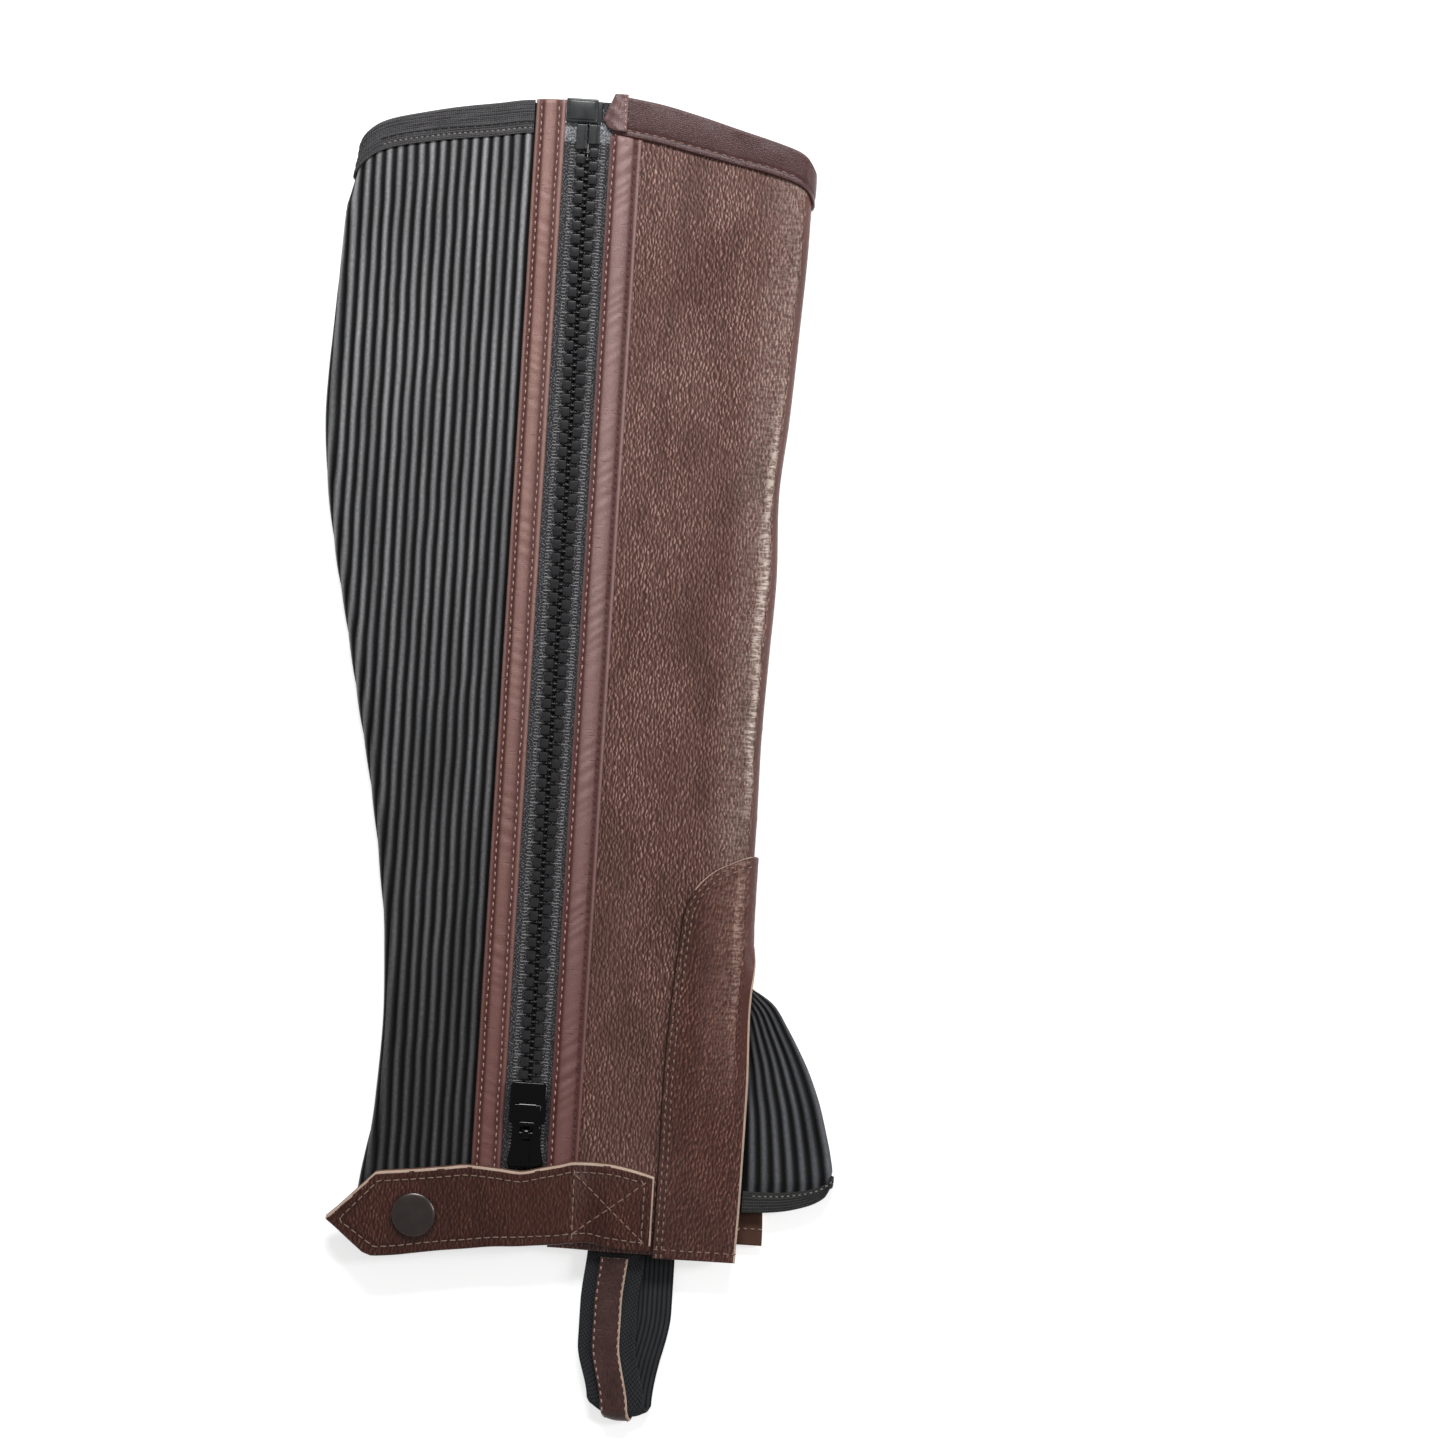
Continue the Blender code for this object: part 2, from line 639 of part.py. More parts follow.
def zip_tape(name, side, top):
    """Woven tape of one side of the zip; the shin side has a narrow end beside the box."""
    us = sorted((side * TAPE_MIDDLE_GAP, side * TAPE_END_EDGE, side * TAPE_EDGE))
    body = []
    for v in heights_between(TAPE_FOOT, TAPE_TOP):
        body.append([wall_at(u, v, k, 0.0, -TAPE) for k, u in enumerate(us)])
    sheets = [body]
    if top > TAPE_TOP:
        end = []
        for v in (TAPE_TOP, top):
            end.append([wall_at(u, v, k, 0.0, -TAPE) for k, u in enumerate(us[1:], 1)])
        sheets.append(end)
    add(name, walled(sheets), black_elastic())


def zip_chain():
    """Bar in the place of the closed rows of teeth."""
    rows = []
    for v in heights_between(CHAIN_FOOT, CHAIN_TOP):
        rows.append([wall_at(s * CHAIN_HALF_WIDTH, v, s, GAP + high, GAP) for s, high in CHAIN_SHAPE])
    add("zip_chain", walled((rows,)), black_plastic())


def block(name, limits, level, round_edge):
    """Plastic box with rounded edges: x, v and height from and to, the height over a level."""
    across, along, up = limits
    low = (across[0], along[0], level + up[0])
    high = (across[1], along[1], level + up[1])
    work = bmesh.new()
    size = [b - a for a, b in zip(low, high)]
    middle = [(a + b) / 2 for a, b in zip(low, high)]
    bmesh.ops.create_cube(work, size=1.0)
    bmesh.ops.scale(work, vec=size, verts=work.verts)
    bmesh.ops.translate(work, vec=middle, verts=work.verts)
    bmesh.ops.bevel(work, geom=work.edges[:], offset=round_edge, segments=2, affect="EDGES", profile=0.5)
    bmesh.ops.scale(work, vec=(MM, MM, MM), verts=work.verts)
    data = bpy.data.meshes.new(name)
    work.to_mesh(data)
    work.free()
    return place(name, data, black_plastic())


def zip_ends():
    """Box at the knee end of the zip and the two pins below it."""
    face = section(BOX[1][0])[2](0)
    block("zip_box", BOX, face, 0.7)
    block("zip_pin_calf", PIN_CALF, face, 0.6)
    block("zip_pin_shin", PIN_SHIN, face, 0.6)


def binding_section(point, edge, flaps, wall, thick):
    """Closed section of a tape over an edge; point(height, out) gives a place on the panel.

    With no depth for the inner flap it only covers the edge, where two layers lie close together.
    """
    outside = GAP + thick
    inside = -wall - GAP - thick
    over = edge + GAP + thick
    if not flaps[1]:
        shape = ((edge - flaps[0], GAP), (edge - flaps[0], outside), (edge, outside), (over, GAP),
                 (over, -wall), (edge + GAP, -wall), (edge + GAP, GAP))
        return [point(v, out) for v, out in shape]
    shape = (
        (edge - flaps[0], GAP), (edge - flaps[0], outside), (edge, outside),
        (over, GAP), (over, inside + thick), (edge, inside), (edge - flaps[1], inside),
        (edge - flaps[1], inside + thick), (edge + GAP, inside + thick), (edge + GAP, GAP),
    )
    return [point(v, out) for v, out in shape]


def bind(name, places, edge_of, flaps, wall, finish, upwards=True):
    """Tape folded over the panel's edge along a row of u."""
    sections = []
    for u in places:
        edge = edge_of(u)
        deep = (flaps[0] - flaps[2] * ease(*FLAP_NARROWS, abs(u)), flaps[1])

        def point(v, out):
            if not upwards:
                v = 2 * edge - v
            return panel_point(u, v, out)

        sections.append(binding_section(point, edge, deep, wall, BINDING))
    add(name, swept(sections), finish)


def bindings():
    """Tapes over the knee edge and over the hem of the calf panel."""
    shin, calf, _, _ = section(392.0)
    seam_calf, seam_shin = back_seam(385.0)
    fold = [shin + QUARTER * k / 5 for k in range(11)]
    back = [mix(fold[-1], seam_shin - BINDING_SEAM, s) for s in KNEE_LEATHER_BACK]
    bind("knee_binding_leather", [*KNEE_LEATHER_PLACES, *fold, *back], leather_edge,
         KNEE_LEATHER_FLAPS, LEATHER, smooth_leather())
    fold = [calf - math.pi * CALF_RADIUS * k / 10 for k in range(11)]
    back = [mix(fold[-1], seam_calf + BINDING_SEAM, s) for s in (0.5, 1.0)]
    bind("knee_binding_elastic", [*KNEE_ELASTIC_PLACES, *fold, *back], elastic_edge,
         KNEE_ELASTIC_FLAPS, ELASTIC, black_elastic())
    calf = section(ELASTIC_HEM)[1]
    seam_calf = back_seam(ELASTIC_HEM)[0]
    fold = [calf - math.pi * CALF_RADIUS * k / 10 for k in range(11)]
    back = [mix(fold[-1], seam_calf + BINDING_SEAM, s) for s in (0.5, 1.0)]
    bind("ankle_binding_elastic", [*ANKLE_PLACES, *fold, *back], lambda u: ELASTIC_HEM,
         ANKLE_FLAPS, ELASTIC, black_elastic(), upwards=False)


def patch_columns(v):
    """Place among the leather's columns and u, for the patch's sewn edge and each column beyond it."""
    start = patch_edge(v)
    columns = outer_columns(v)
    left = bisect_right(columns, start) - 1
    share = (start - columns[left]) / (columns[left + 1] - columns[left])
    beyond = [(k, u) for k, u in enumerate(columns) if u > start + PATCH_NARROWEST]
    return [(left + share, start)] + beyond


def shin_patch():
    """Leather overlay over the shin fold, on both sides of the slit."""
    outer, inner = [], []
    for row in PATCH_ROWS:
        outer.append([(k, panel_point(u, row, GAP + PATCH), panel_point(u, row, GAP))
                      for k, u in patch_columns(row)])
        v = max(row, INNER_HEM)
        middle = section(v)[0] + QUARTER
        line = []
        for k, u in reversed(patch_columns(v)):
            u = max(2 * middle - u, middle + QUARTER * JUST_PAST)
            line.append((-k, panel_point(u, v, GAP + PATCH), panel_point(u, v, GAP)))
        inner.append(line)
    add("shin_patch", walled((outer, inner)), pebbled_leather())


def along_table(rows, share):
    """Point at a share of a table's length, by smooth curves through its columns."""
    numbered = [(k, *row) for k, row in enumerate(rows)]
    at = share * (len(rows) - 1)
    return Curve(numbered, 1)(at), Curve(numbered, 2)(at)


def gusset_point(across, down, out=0.0):
    """Point on the folded gusset: across is 0 and 2 at its sewn sides and 1 on its fold."""
    root_x = mix(GUSSET_ROOT[0][0], GUSSET_ROOT[1][0], down)
    root_v = mix(GUSSET_ROOT[0][1], GUSSET_ROOT[1][1], down)
    fold_x, fold_v = along_table(GUSSET_FOLD, down)
    low_fold = GUSSET_ROOT_LOW * ease(*GUSSET_SETTLES, down) + GUSSET_HEM_LIFT * ease(*GUSSET_LIFTS, down)
    opening = mix(GUSSET_ROOT_HIGH - GUSSET_ROOT_LOW, GUSSET_FOLD_HEIGHT, ease(*GUSSET_OPENS, down))
    high_fold = low_fold + opening
    radius = (high_fold - low_fold) / 2
    flat = fold_x - radius - root_x
    width = flat + math.pi * radius / 2
    along = (across if across <= 1 else 2 - across) * width
    top = across <= 1
    if along <= flat:
        x = root_x + along
        cut = shin_edge(root_v) - SHIN_RADIUS + QUARTER
        if top:
            z = mix(GUSSET_ROOT_HIGH, high_fold, ease(cut + GUSSET_CLEAR, root_x + flat, x)) + out
        else:
            cut += inner_flap_reach(root_v) + GUSSET_CLEAR_INNER
            z = mix(GUSSET_ROOT_LOW, low_fold, ease(cut, max(root_x + flat, cut + 1), x)) - out
    else:
        turn = (along - flat) / radius
        x = root_x + flat + (radius + out) * math.sin(turn)
        rise = (radius + out) * math.cos(turn)
        z = low_fold + radius + (rise if top else -rise)
    share = (x - root_x) / (fold_x - root_x)
    last_x = mix(GUSSET_ROOT[1][0], GUSSET_FOLD[-1][0], share)
    sag = gusset_hem(last_x) - mix(GUSSET_ROOT[1][1], GUSSET_FOLD[-1][1], share)
    v = mix(root_v, fold_v, min(share, 1.0)) + sag * down ** 2
    return (x, v, z)


def instep_gusset():
    """Ribbed elastic folded double in the slit; its ribs fan out from the slit's upper end."""
    edge = 0.22
    stations = [(0.0, 0.0, True), (edge / 2, 0.0, True)]
    step = (1 - edge) / GUSSET_RIBS
    for k in range(2 * GUSSET_RIBS):
        for part, share in ((0, 0.0), (1, 1.0), (2, 1.0)):
            stations.append((edge + (k + part / 3) * step, share, part == 0))
    stations += [(2 - edge, 0.0, True), (2 - edge / 2, 0.0, True), (2.0, 0.0, True)]
    outer_rows, inner_rows = [], []
    for down in GUSSET_DOWN:
        ends = ease(0.05, 0.2, down) * ease(0.9, 0.84, down)
        outer, inner = [], []
        for across, share, valley in stations:
            x, v, _ = gusset_point(across, down)
            clear = x - shin_edge(v) + SHIN_RADIUS - QUARTER
            rise = GUSSET_RIB_HEIGHT * share * ends * ease(1.04, 0.98, across) * ease(0.3, 1.6, clear)
            outer.append((across, gusset_point(across, down, rise)))
            if valley:
                inner.append((across, gusset_point(across, down, -GUSSET)))
        outer_rows.append(outer)
        inner_rows.append(inner)
    add("instep_gusset", two_faced(outer_rows, inner_rows), black_elastic())


def gusset_binding():
    """Tape folded over the gusset's hem."""
    length = GUSSET_ROOT[0][1] - GUSSET_ROOT[1][1]
    sections = []
    for across in GUSSET_BOUND:

        def point(v, out):
            down = 1 + v / length
            if v <= 0:
                return gusset_point(across, down, out)
            x, y, z = gusset_point(across, 1.0, out)
            return (x, y - v, z)

        sections.append(binding_section(point, 0.0, GUSSET_FLAPS, GUSSET, GUSSET_BINDING))
    add("gusset_binding", swept(sections), black_elastic())


def strap_layer(name, base, margin, finish):
    """One leather layer of the ankle strap; margin is how far its edge stands out."""
    rows = []
    for x, low, high, _ in STRAP:
        low, high = low - margin, high + margin
        row = []
        for share in STRAP_ACROSS:
            v = mix(low, high, share)
            z = mix(strap_under(x), section(round(v, 3))[2](x) + STRAP_SEAT, ease(16, 26, x)) + base
            row.append((share, (x, v, z + STRAP_LAYER), (x, v, z)))
        rows.append(row)
    add(name, walled((rows,)), finish)


def turned(name, profile, middle, height, finish, steps=24):
    """Turned piece: a profile of (radius, height) round an upright axis, with a Screw modifier."""
    work = bmesh.new()
    corners = [work.verts.new((r * MM, 0, z * MM)) for r, z in profile]
    for a, b in zip(corners, corners[1:]):
        work.edges.new((a, b))
    data = bpy.data.meshes.new(name)
    work.to_mesh(data)
    work.free()
    shape = bpy.data.objects.new(name + "_profile", data)
    bpy.context.scene.collection.objects.link(shape)
    screw = shape.modifiers.new("turn", "SCREW")
    screw.axis = "Z"
    screw.steps = steps
    screw.render_steps = steps
    screw.use_merge_vertices = True
    screw.merge_threshold = 0.00001
    solid = bpy.data.meshes.new_from_object(shape.evaluated_get(bpy.context.evaluated_depsgraph_get()))
    bpy.data.objects.remove(shape)
    solid.name = name
    solid.transform(Matrix.Translation((middle[0] * MM, middle[1] * MM, height * MM)))
    return place(name, solid, finish)


def snap():
    """Cap on the strap and the stud below it."""
    x, v = SNAP
    top = strap_under(x) + 2 * STRAP_LAYER + GAP
    r, h = SNAP_RADIUS, SNAP_HEIGHT
    dome = ((0, h), (r * 0.45, h * 0.96), (r * 0.75, h * 0.84), (r * 0.92, h * 0.66), (r, h * 0.38),
            (r, h * 0.12), (r * 0.94, 0), (0, 0))
    turned("snap_cap", dome, SNAP, top + GAP, dark_metal())
    low = section(v)[2](x) + GAP + BINDING + GAP + 0.6
    high = strap_under(x) - GAP
    disc = ((0, high - low), (STUD_RADIUS, high - low), (STUD_RADIUS, 0), (0, 0))
    turned("snap_stud", disc, SNAP, low, dark_metal(), 16)


def loop_point(station, share, out=0.0):
    """Point on the foot loop's outer face: station runs down the upper leg, round, and up the lower."""
    kind, at = station
    x = LOOP_LEFT + LOOP_WIDTH * share
    thick = 2 * WEBBING + LOOP_INSIDE
    radius = thick / 2
    bend = loop_bend(share) + radius
    if kind == "bend":
        turn = math.pi * at
        x += LOOP_SHIFT / 2
        reach = radius + out
        return (x, bend - reach * math.sin(turn), LOOP_UNDER + radius + reach * math.cos(turn))
    v = at if at > -38 else mix(bend, -38, (at + 52) / 14)
    shift = ease(-18, -52, at) / 2
    if kind == "upper":
        x += LOOP_SHIFT * shift
        inside = section(max(v, 0.0))[2](x) - LEATHER - LOOP_SEAM_GAP
        return (x, v, mix(LOOP_UNDER + thick, inside, ease(-14, 0.0, v)) + out)
    x += LOOP_SHIFT * (1 - shift)
    inside = lift(x, max(v, 0.0)) + LEATHER + LOOP_SEAM_GAP
    return (x, v, mix(LOOP_UNDER, inside, ease(-8, 4.5, v)) - out)


LOOP_LEG = (10.5, 5.0, 0.5, -3.5, -8, -14, -22, -30, -38, -46, -52)
LOOP_STATIONS = ([("upper", v) for v in LOOP_LEG] + [("bend", k / 6) for k in range(1, 6)]
                 + [("lower", v) for v in reversed(LOOP_LEG)])


def foot_loop():
    """Webbing under the foot and the leather strip on its outer face."""
    rows = [[(s, loop_point(at, s), loop_point(at, s, -WEBBING)) for s in LOOP_SHARES]
            for at in LOOP_STATIONS]
    add("foot_loop", walled((rows,)), black_elastic())
    rows = []
    for kind, v in LOOP_STATIONS:
        if kind == "bend" or v <= LOOP_STRIP_TOP:
            rows.append([(s, loop_point((kind, v), s, GAP + LOOP_STRIP), loop_point((kind, v), s, GAP))
                         for s in LOOP_STRIP_SHARES])
    add("foot_loop_strip", walled((rows,)), pebbled_leather())


def plate(name, outline, low, high):
    """Flat piece from an outline: a filled 2D curve with an extrude of half its thickness."""
    curve = bpy.data.curves.new(name, "CURVE")
    curve.dimensions = "2D"
    curve.fill_mode = "BOTH"
    curve.extrude = (high - low) / 2 * MM
    line = curve.splines.new("POLY")
    line.points.add(len(outline) - 1)
    for point, (x, y) in zip(line.points, outline):
        point.co = (x * MM, y * MM, 0, 1)
    line.use_cyclic_u = True
    shape = bpy.data.objects.new(name, curve)
    bpy.context.scene.collection.objects.link(shape)
    data = bpy.data.meshes.new_from_object(shape.evaluated_get(bpy.context.evaluated_depsgraph_get()))
    bpy.data.objects.remove(shape)
    work = bmesh.new()
    work.from_mesh(data)
    bmesh.ops.remove_doubles(work, verts=work.verts, dist=0.000001)
    bmesh.ops.recalc_face_normals(work, faces=work.faces)
    work.to_mesh(data)
    work.free()
    data.transform(Matrix.Translation((0, 0, (low + high) / 2 * MM)))
    return data


def cutter(name, data):
    """Guide object that shapes another one and isn't part of the half chap."""
    tool = bpy.data.objects.new(name, data)
    bpy.data.collections["cutters"].objects.link(tool)
    tool.hide_render = True
    tool.display_type = "WIRE"
    return tool


def combine(piece, tool, operation):
    change = piece.modifiers.new(operation.lower(), "BOOLEAN")
    change.operation = operation
    change.object = tool


def upright_disc(radius, width, turn_steps=20):
    """Round bar across the zip, about the drawing's x axis."""
    work = bmesh.new()
    bmesh.ops.create_cone(work, cap_ends=True, segments=turn_steps, radius1=radius * MM,
                          radius2=radius * MM, depth=width * MM,
                          matrix=Matrix.Rotation(math.pi / 2, 4, "Y"))
    data = bpy.data.meshes.new("round_bar")
    work.to_mesh(data)
    work.free()
    return data


def slider():
    """Slider body: wide shoulders towards the ankle, a bridge for the pull tab on top."""
    face = section(38.0)[2](0)
    low, high = face + GAP, face + SLIDER_RISE
    outline = list(SLIDER_HALF) + [(-x, y) for x, y in reversed(SLIDER_HALF)]
    piece = place("slider", plate("slider", outline, low, high), black_plastic())
    axis_z = face + PULL_AXIS_RISE

    def on_axis(data):
        data.transform(Matrix.Translation(Vector((-MIDDLE_X, PULL_AXIS_V - MIDDLE_V, axis_z)) * MM))
        return data

    bridge = cutter("slider_bridge", on_axis(upright_disc(BRIDGE_RADIUS, BRIDGE_WIDTH)))
    combine(piece, bridge, "UNION")
    bore = cutter("slider_bore", on_axis(upright_disc(BRIDGE_BORE, BRIDGE_WIDTH + 2)))
    combine(piece, bore, "DIFFERENCE")
    return axis_z


def pull_tab(axis_z):
    """Pull tab with its cross pin on the joint's axis; at rest it leans on the teeth above the slider."""
    w, near, far = PULL_WIDTH / 2, PULL_START, PULL_END
    arm_in, arm_out = PULL_ARM
    t = PULL_THICKNESS / 2
    half = ((arm_in, -0.6), (arm_out, -0.6), (arm_out, near - 0.2), (w - 0.8, near + 0.4), (w, near + 1.4),
            (w, far - 1.2), (w - 1.2, far))
    outline = list(half) + [(-x, y) for x, y in reversed(half)] + [(-arm_in, near), (arm_in, near)]
    data = plate("pull_tab", outline, -t, t)
    piece = bpy.data.objects.new("pull_tab", data)
    bpy.data.collections["half_chap"].objects.link(piece)
    data.materials.append(black_plastic())
    pin = cutter("pull_pin", upright_disc(PULL_PIN_RADIUS, 2 * arm_in + 1.2, 14))
    combine(piece, pin, "UNION")
    spot = Vector((-MIDDLE_X, PULL_AXIS_V - MIDDLE_V, axis_z)) * MM
    for thing in (piece, pin):
        thing.location = spot
        thing.rotation_euler = (-PULL_TILT, 0, 0)


def clear_scene():
    for old in list(bpy.data.objects):
        bpy.data.objects.remove(old)
    for name in ("half_chap", "cutters"):
        group = bpy.data.collections.new(name)
        bpy.context.scene.collection.children.link(group)


def build():
    clear_scene()
    leather_panel()
    elastic_panel()
    zip_tape("zip_tape_calf", -1, TAPE_TOP)
    zip_tape("zip_tape_shin", 1, TAPE_END_TOP)
    strip("zip_strip_calf", STRIP_CALF, knee_elastic)
    strip("zip_strip_shin", STRIP_SHIN, below_knee_binding)
    zip_chain()
    zip_ends()
    bindings()
    shin_patch()
    instep_gusset()
    gusset_binding()
    strap_layer("ankle_strap_backing", 0.0, BACKING_MARGIN, smooth_leather())
    strap_layer("ankle_strap", STRAP_LAYER + GAP, 0.0, pebbled_leather())
    snap()
    foot_loop()
    pull_tab(slider())


build()
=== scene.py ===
# %% [markdown]
# # A half chap, laid flat
# A half chap is a short gaiter of leather and elastic. A rider zips it round the lower leg over a short
# boot. This lesson dresses a plain CAD model of one with its real cloth, seams, teeth and finishes.
#
# The CAD model is loaded first, as a fixed frame. Each piece that is made here lies where its solid lies.
# %% Load the frame
import math

import bmesh
import bpy
import numpy as np
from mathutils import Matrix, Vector
from mathutils.bvhtree import BVHTree


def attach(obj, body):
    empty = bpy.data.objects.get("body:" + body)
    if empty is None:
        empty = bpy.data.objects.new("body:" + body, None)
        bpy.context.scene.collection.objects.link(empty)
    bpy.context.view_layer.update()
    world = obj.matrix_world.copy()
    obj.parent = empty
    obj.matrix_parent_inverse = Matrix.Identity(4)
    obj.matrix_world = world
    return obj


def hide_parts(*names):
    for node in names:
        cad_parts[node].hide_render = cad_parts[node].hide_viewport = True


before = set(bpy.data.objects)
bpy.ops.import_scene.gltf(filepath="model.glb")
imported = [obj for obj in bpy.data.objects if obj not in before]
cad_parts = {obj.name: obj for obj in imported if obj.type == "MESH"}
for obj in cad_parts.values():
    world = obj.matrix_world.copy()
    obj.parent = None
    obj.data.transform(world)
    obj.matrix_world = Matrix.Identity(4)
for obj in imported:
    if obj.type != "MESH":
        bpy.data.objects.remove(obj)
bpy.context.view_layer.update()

MM = 0.001


def in_scene(name, data):
    """New object at the origin of the scene."""
    thing = bpy.data.objects.new(name, data)
    bpy.context.scene.collection.objects.link(thing)
    return thing


# %% [markdown]
# ## The camera
# The half chap lies on a table and the camera looks straight down at it. The picture is square, and at
# the height of the leather it is 520 mm wide. A lens with little perspective keeps the zip straight from
# end to end, and a small turn of the camera makes the leg lean as it does on the table.
# %% Camera straight above
PICTURE_SIDE = 1445
MM_PER_PIXEL = 0.36
CAMERA_TURN = math.radians(3.571)
CAMERA_HEIGHT = 1.3
LEATHER_LEVEL = 0.007
VIEW_MIDDLE = (0.049685, 0.015375)
SENSOR = 36.0

lens = bpy.data.cameras.new("camera")
lens.sensor_width = SENSOR
lens.lens = SENSOR * (CAMERA_HEIGHT - LEATHER_LEVEL) / (PICTURE_SIDE * MM_PER_PIXEL * MM)
camera = in_scene("camera", lens)
camera.location = (*VIEW_MIDDLE, CAMERA_HEIGHT)
camera.rotation_euler = (0, 0, CAMERA_TURN)
bpy.context.scene.camera = camera
print("lens:", round(lens.lens, 1), "mm")

# %% [markdown]
# ## Shader maths in Python
# A node tree is easier to read as a formula. The class below wraps one output of a node and gives it
# Python's own operators, so that `1 - mask * 0.5` adds the Math nodes by itself. The same class serves
# the materials and the Geometry Nodes, because both kinds of tree know the Math node.
# %% A socket that can be calculated with
def plug_in(tree, plug, value):
    """Link a socket to an input, or set the input to a plain value."""
    if isinstance(value, Socket):
        tree.links.new(value.plug, plug)
    else:
        plug.default_value = value


def does(operation, swapped=False):
    """Method of a socket that adds one Math node."""
    def method(self, *other):
        return self.math(operation, *((*other, self) if swapped else (self, *other)))
    return method


class Socket:
    """One output of a node. Operators on it add Math nodes to its tree."""

    def __init__(self, tree, plug):
        self.tree = tree
        self.plug = plug

    def math(self, operation, *values, clamp=False):
        node = self.tree.nodes.new("ShaderNodeMath")
        node.operation = operation
        node.use_clamp = clamp
        for plug, value in zip(node.inputs, values):
            plug_in(self.tree, plug, value)
        return Socket(self.tree, node.outputs[0])

    def beside(self, name):
        """Another output of the same node."""
        return Socket(self.tree, self.plug.node.outputs[name])

    __add__ = __radd__ = does("ADD")
    __sub__, __rsub__ = does("SUBTRACT"), does("SUBTRACT", swapped=True)
    __mul__ = __rmul__ = does("MULTIPLY")
    __truediv__, __pow__ = does("DIVIDE"), does("POWER")
    sine, size, fraction = does("SINE"), does("ABSOLUTE"), does("FRACT")
    at_least, at_most = does("MAXIMUM"), does("MINIMUM")

    def ramp(self, start, end):
        """0 at start, 1 at end and soft between them; start may be the larger one."""
        share = self.math("DIVIDE", self - start, end - start, clamp=True)
        return share * share * (3 - 2 * share)


# %% A bench for any other node
class Bench:
    """A node tree that is being built."""

    def __init__(self, tree):
        self.tree = tree

    def node(self, kind, settings=(), sockets=(), output=0):
        """Add a node: its settings first, then its inputs. Gives back one of its outputs."""
        made = self.tree.nodes.new(kind)
        for name, value in dict(settings).items():
            setattr(made, name, value)
        for name, value in dict(sockets).items():
            plug_in(self.tree, made.inputs[name], value)
        return Socket(self.tree, made.outputs[output])

    def vector(self, operation, sockets):
        """Add a Vector Math node."""
        return self.node("ShaderNodeVectorMath", {"operation": operation}, sockets)


# %% [markdown]
# A material is a bench with a Principled shader on it. Cloth carries a UV map in millimetres, across and
# along the leg, so a weave or a grain is given at its real size and runs round the folds.
# %% A bench for materials
COLOUR_A, COLOUR_B, COLOUR_OUT = 6, 7, 2


def linear(colour):
    """Linear colour from one that is given as on a screen, from 0 to 255."""
    return (*((c / 255) ** 2.2 for c in colour), 1.0)


class Finish(Bench):
    """A material that is being mixed."""

    def __init__(self, name, **constants):
        self.material = bpy.data.materials.new(name)
        self.material.use_nodes = True
        super().__init__(self.material.node_tree)
        self.shader = self.tree.nodes["Principled BSDF"]
        self.set(**constants)

    def set(self, **values):
        for name, value in values.items():
            plug_in(self.tree, self.shader.inputs[name.replace("_", " ")], value)

    def cut(self, across=1.0, along=1.0, turn=0.0):
        """The piece's own map in cells of across by along millimetres, turned by some degrees."""
        at = self.node("ShaderNodeUVMap", {"uv_map": "cut"})
        return self.node("ShaderNodeMapping", {"vector_type": "POINT"}, {
            "Vector": at, "Rotation": (0, 0, math.radians(turn)), "Scale": (1 / across, 1 / along, 1)})

    def solid(self, cell=1.0):
        """Object coordinates in cells of so many millimetres."""
        at = self.node("ShaderNodeTexCoord", output="Object")
        return self.vector("SCALE", {0: at, "Scale": 1 / (cell * MM)})

    def split(self, vector):
        """The x and y of a vector."""
        parts = self.node("ShaderNodeSeparateXYZ", {}, {0: vector})
        return parts, parts.beside("Y")

    def noise(self, at, detail=3.0, roughness=0.55, distortion=0.0):
        """Noise whose spots are about as large as the cells of its coordinates."""
        return self.node("ShaderNodeTexNoise", {"noise_dimensions": "3D"}, {
            "Vector": at, "Scale": 1.0, "Detail": detail, "Roughness": roughness, "Distortion": distortion})

    def cells(self, at, feature="F1", **more):
        """Voronoi cells, as large as the cells of the map."""
        return self.node("ShaderNodeTexVoronoi", {"feature": feature, "voronoi_dimensions": "2D"},
                         {"Vector": at, "Scale": 1.0, **more})

    def told(self, fact):
        """A number that the mesh carries at its points."""
        return self.node("ShaderNodeAttribute", {"attribute_name": fact}, output="Fac")

    def blend(self, share, a, b):
        """Mix of two colours."""
        def colour(c):
            return c if isinstance(c, Socket) else linear(c)
        return self.node("ShaderNodeMix", {"data_type": "RGBA"},
                         {0: share, COLOUR_A: colour(a), COLOUR_B: colour(b)}, COLOUR_OUT)

    def bump(self, height, depth):
        """Normal of a relief whose height runs from 0 to 1 and is so many millimetres deep."""
        return self.node("ShaderNodeBump", {}, {"Height": height, "Distance": depth * MM})


# %% [markdown]
# ## Pebbled leather
# The main panel is drum-dyed cowhide with a pebble grain: small raised cells, longer up the leg than
# across it. A Voronoi texture gives such cells, and its distance makes each one a small dome. Noise bends
# the rows of cells, so that no two are alike. Two more looks at the same cells, one a little to the left
# and one a little to the right, tell which flank of a dome is near: the difference of the two heights is
# its slope. The flanks towards the window are painted pale as small crooked flecks, a painted highlight,
# and the far flanks and the gaps between cells are painted darker, a painted shade. The painted highlight
# grows towards the knee and the painted shade towards the hem, and a slow noise paints broad hollows
# darker. On the shin fold the leather is stretched into cross ridges, with a pale painted highlight along
# the fold, and just past it the grain is pulled smooth.
# %% Pebbled leather
# Cell of the grain across and up the leg, and the step to each side, in cells.
PEBBLE, FLANK_STEP = (1.0, 2.0), 0.13
# Heights from the hem to the knee over which the painted light grows.
HEM_TO_KNEE = (-40, 330)


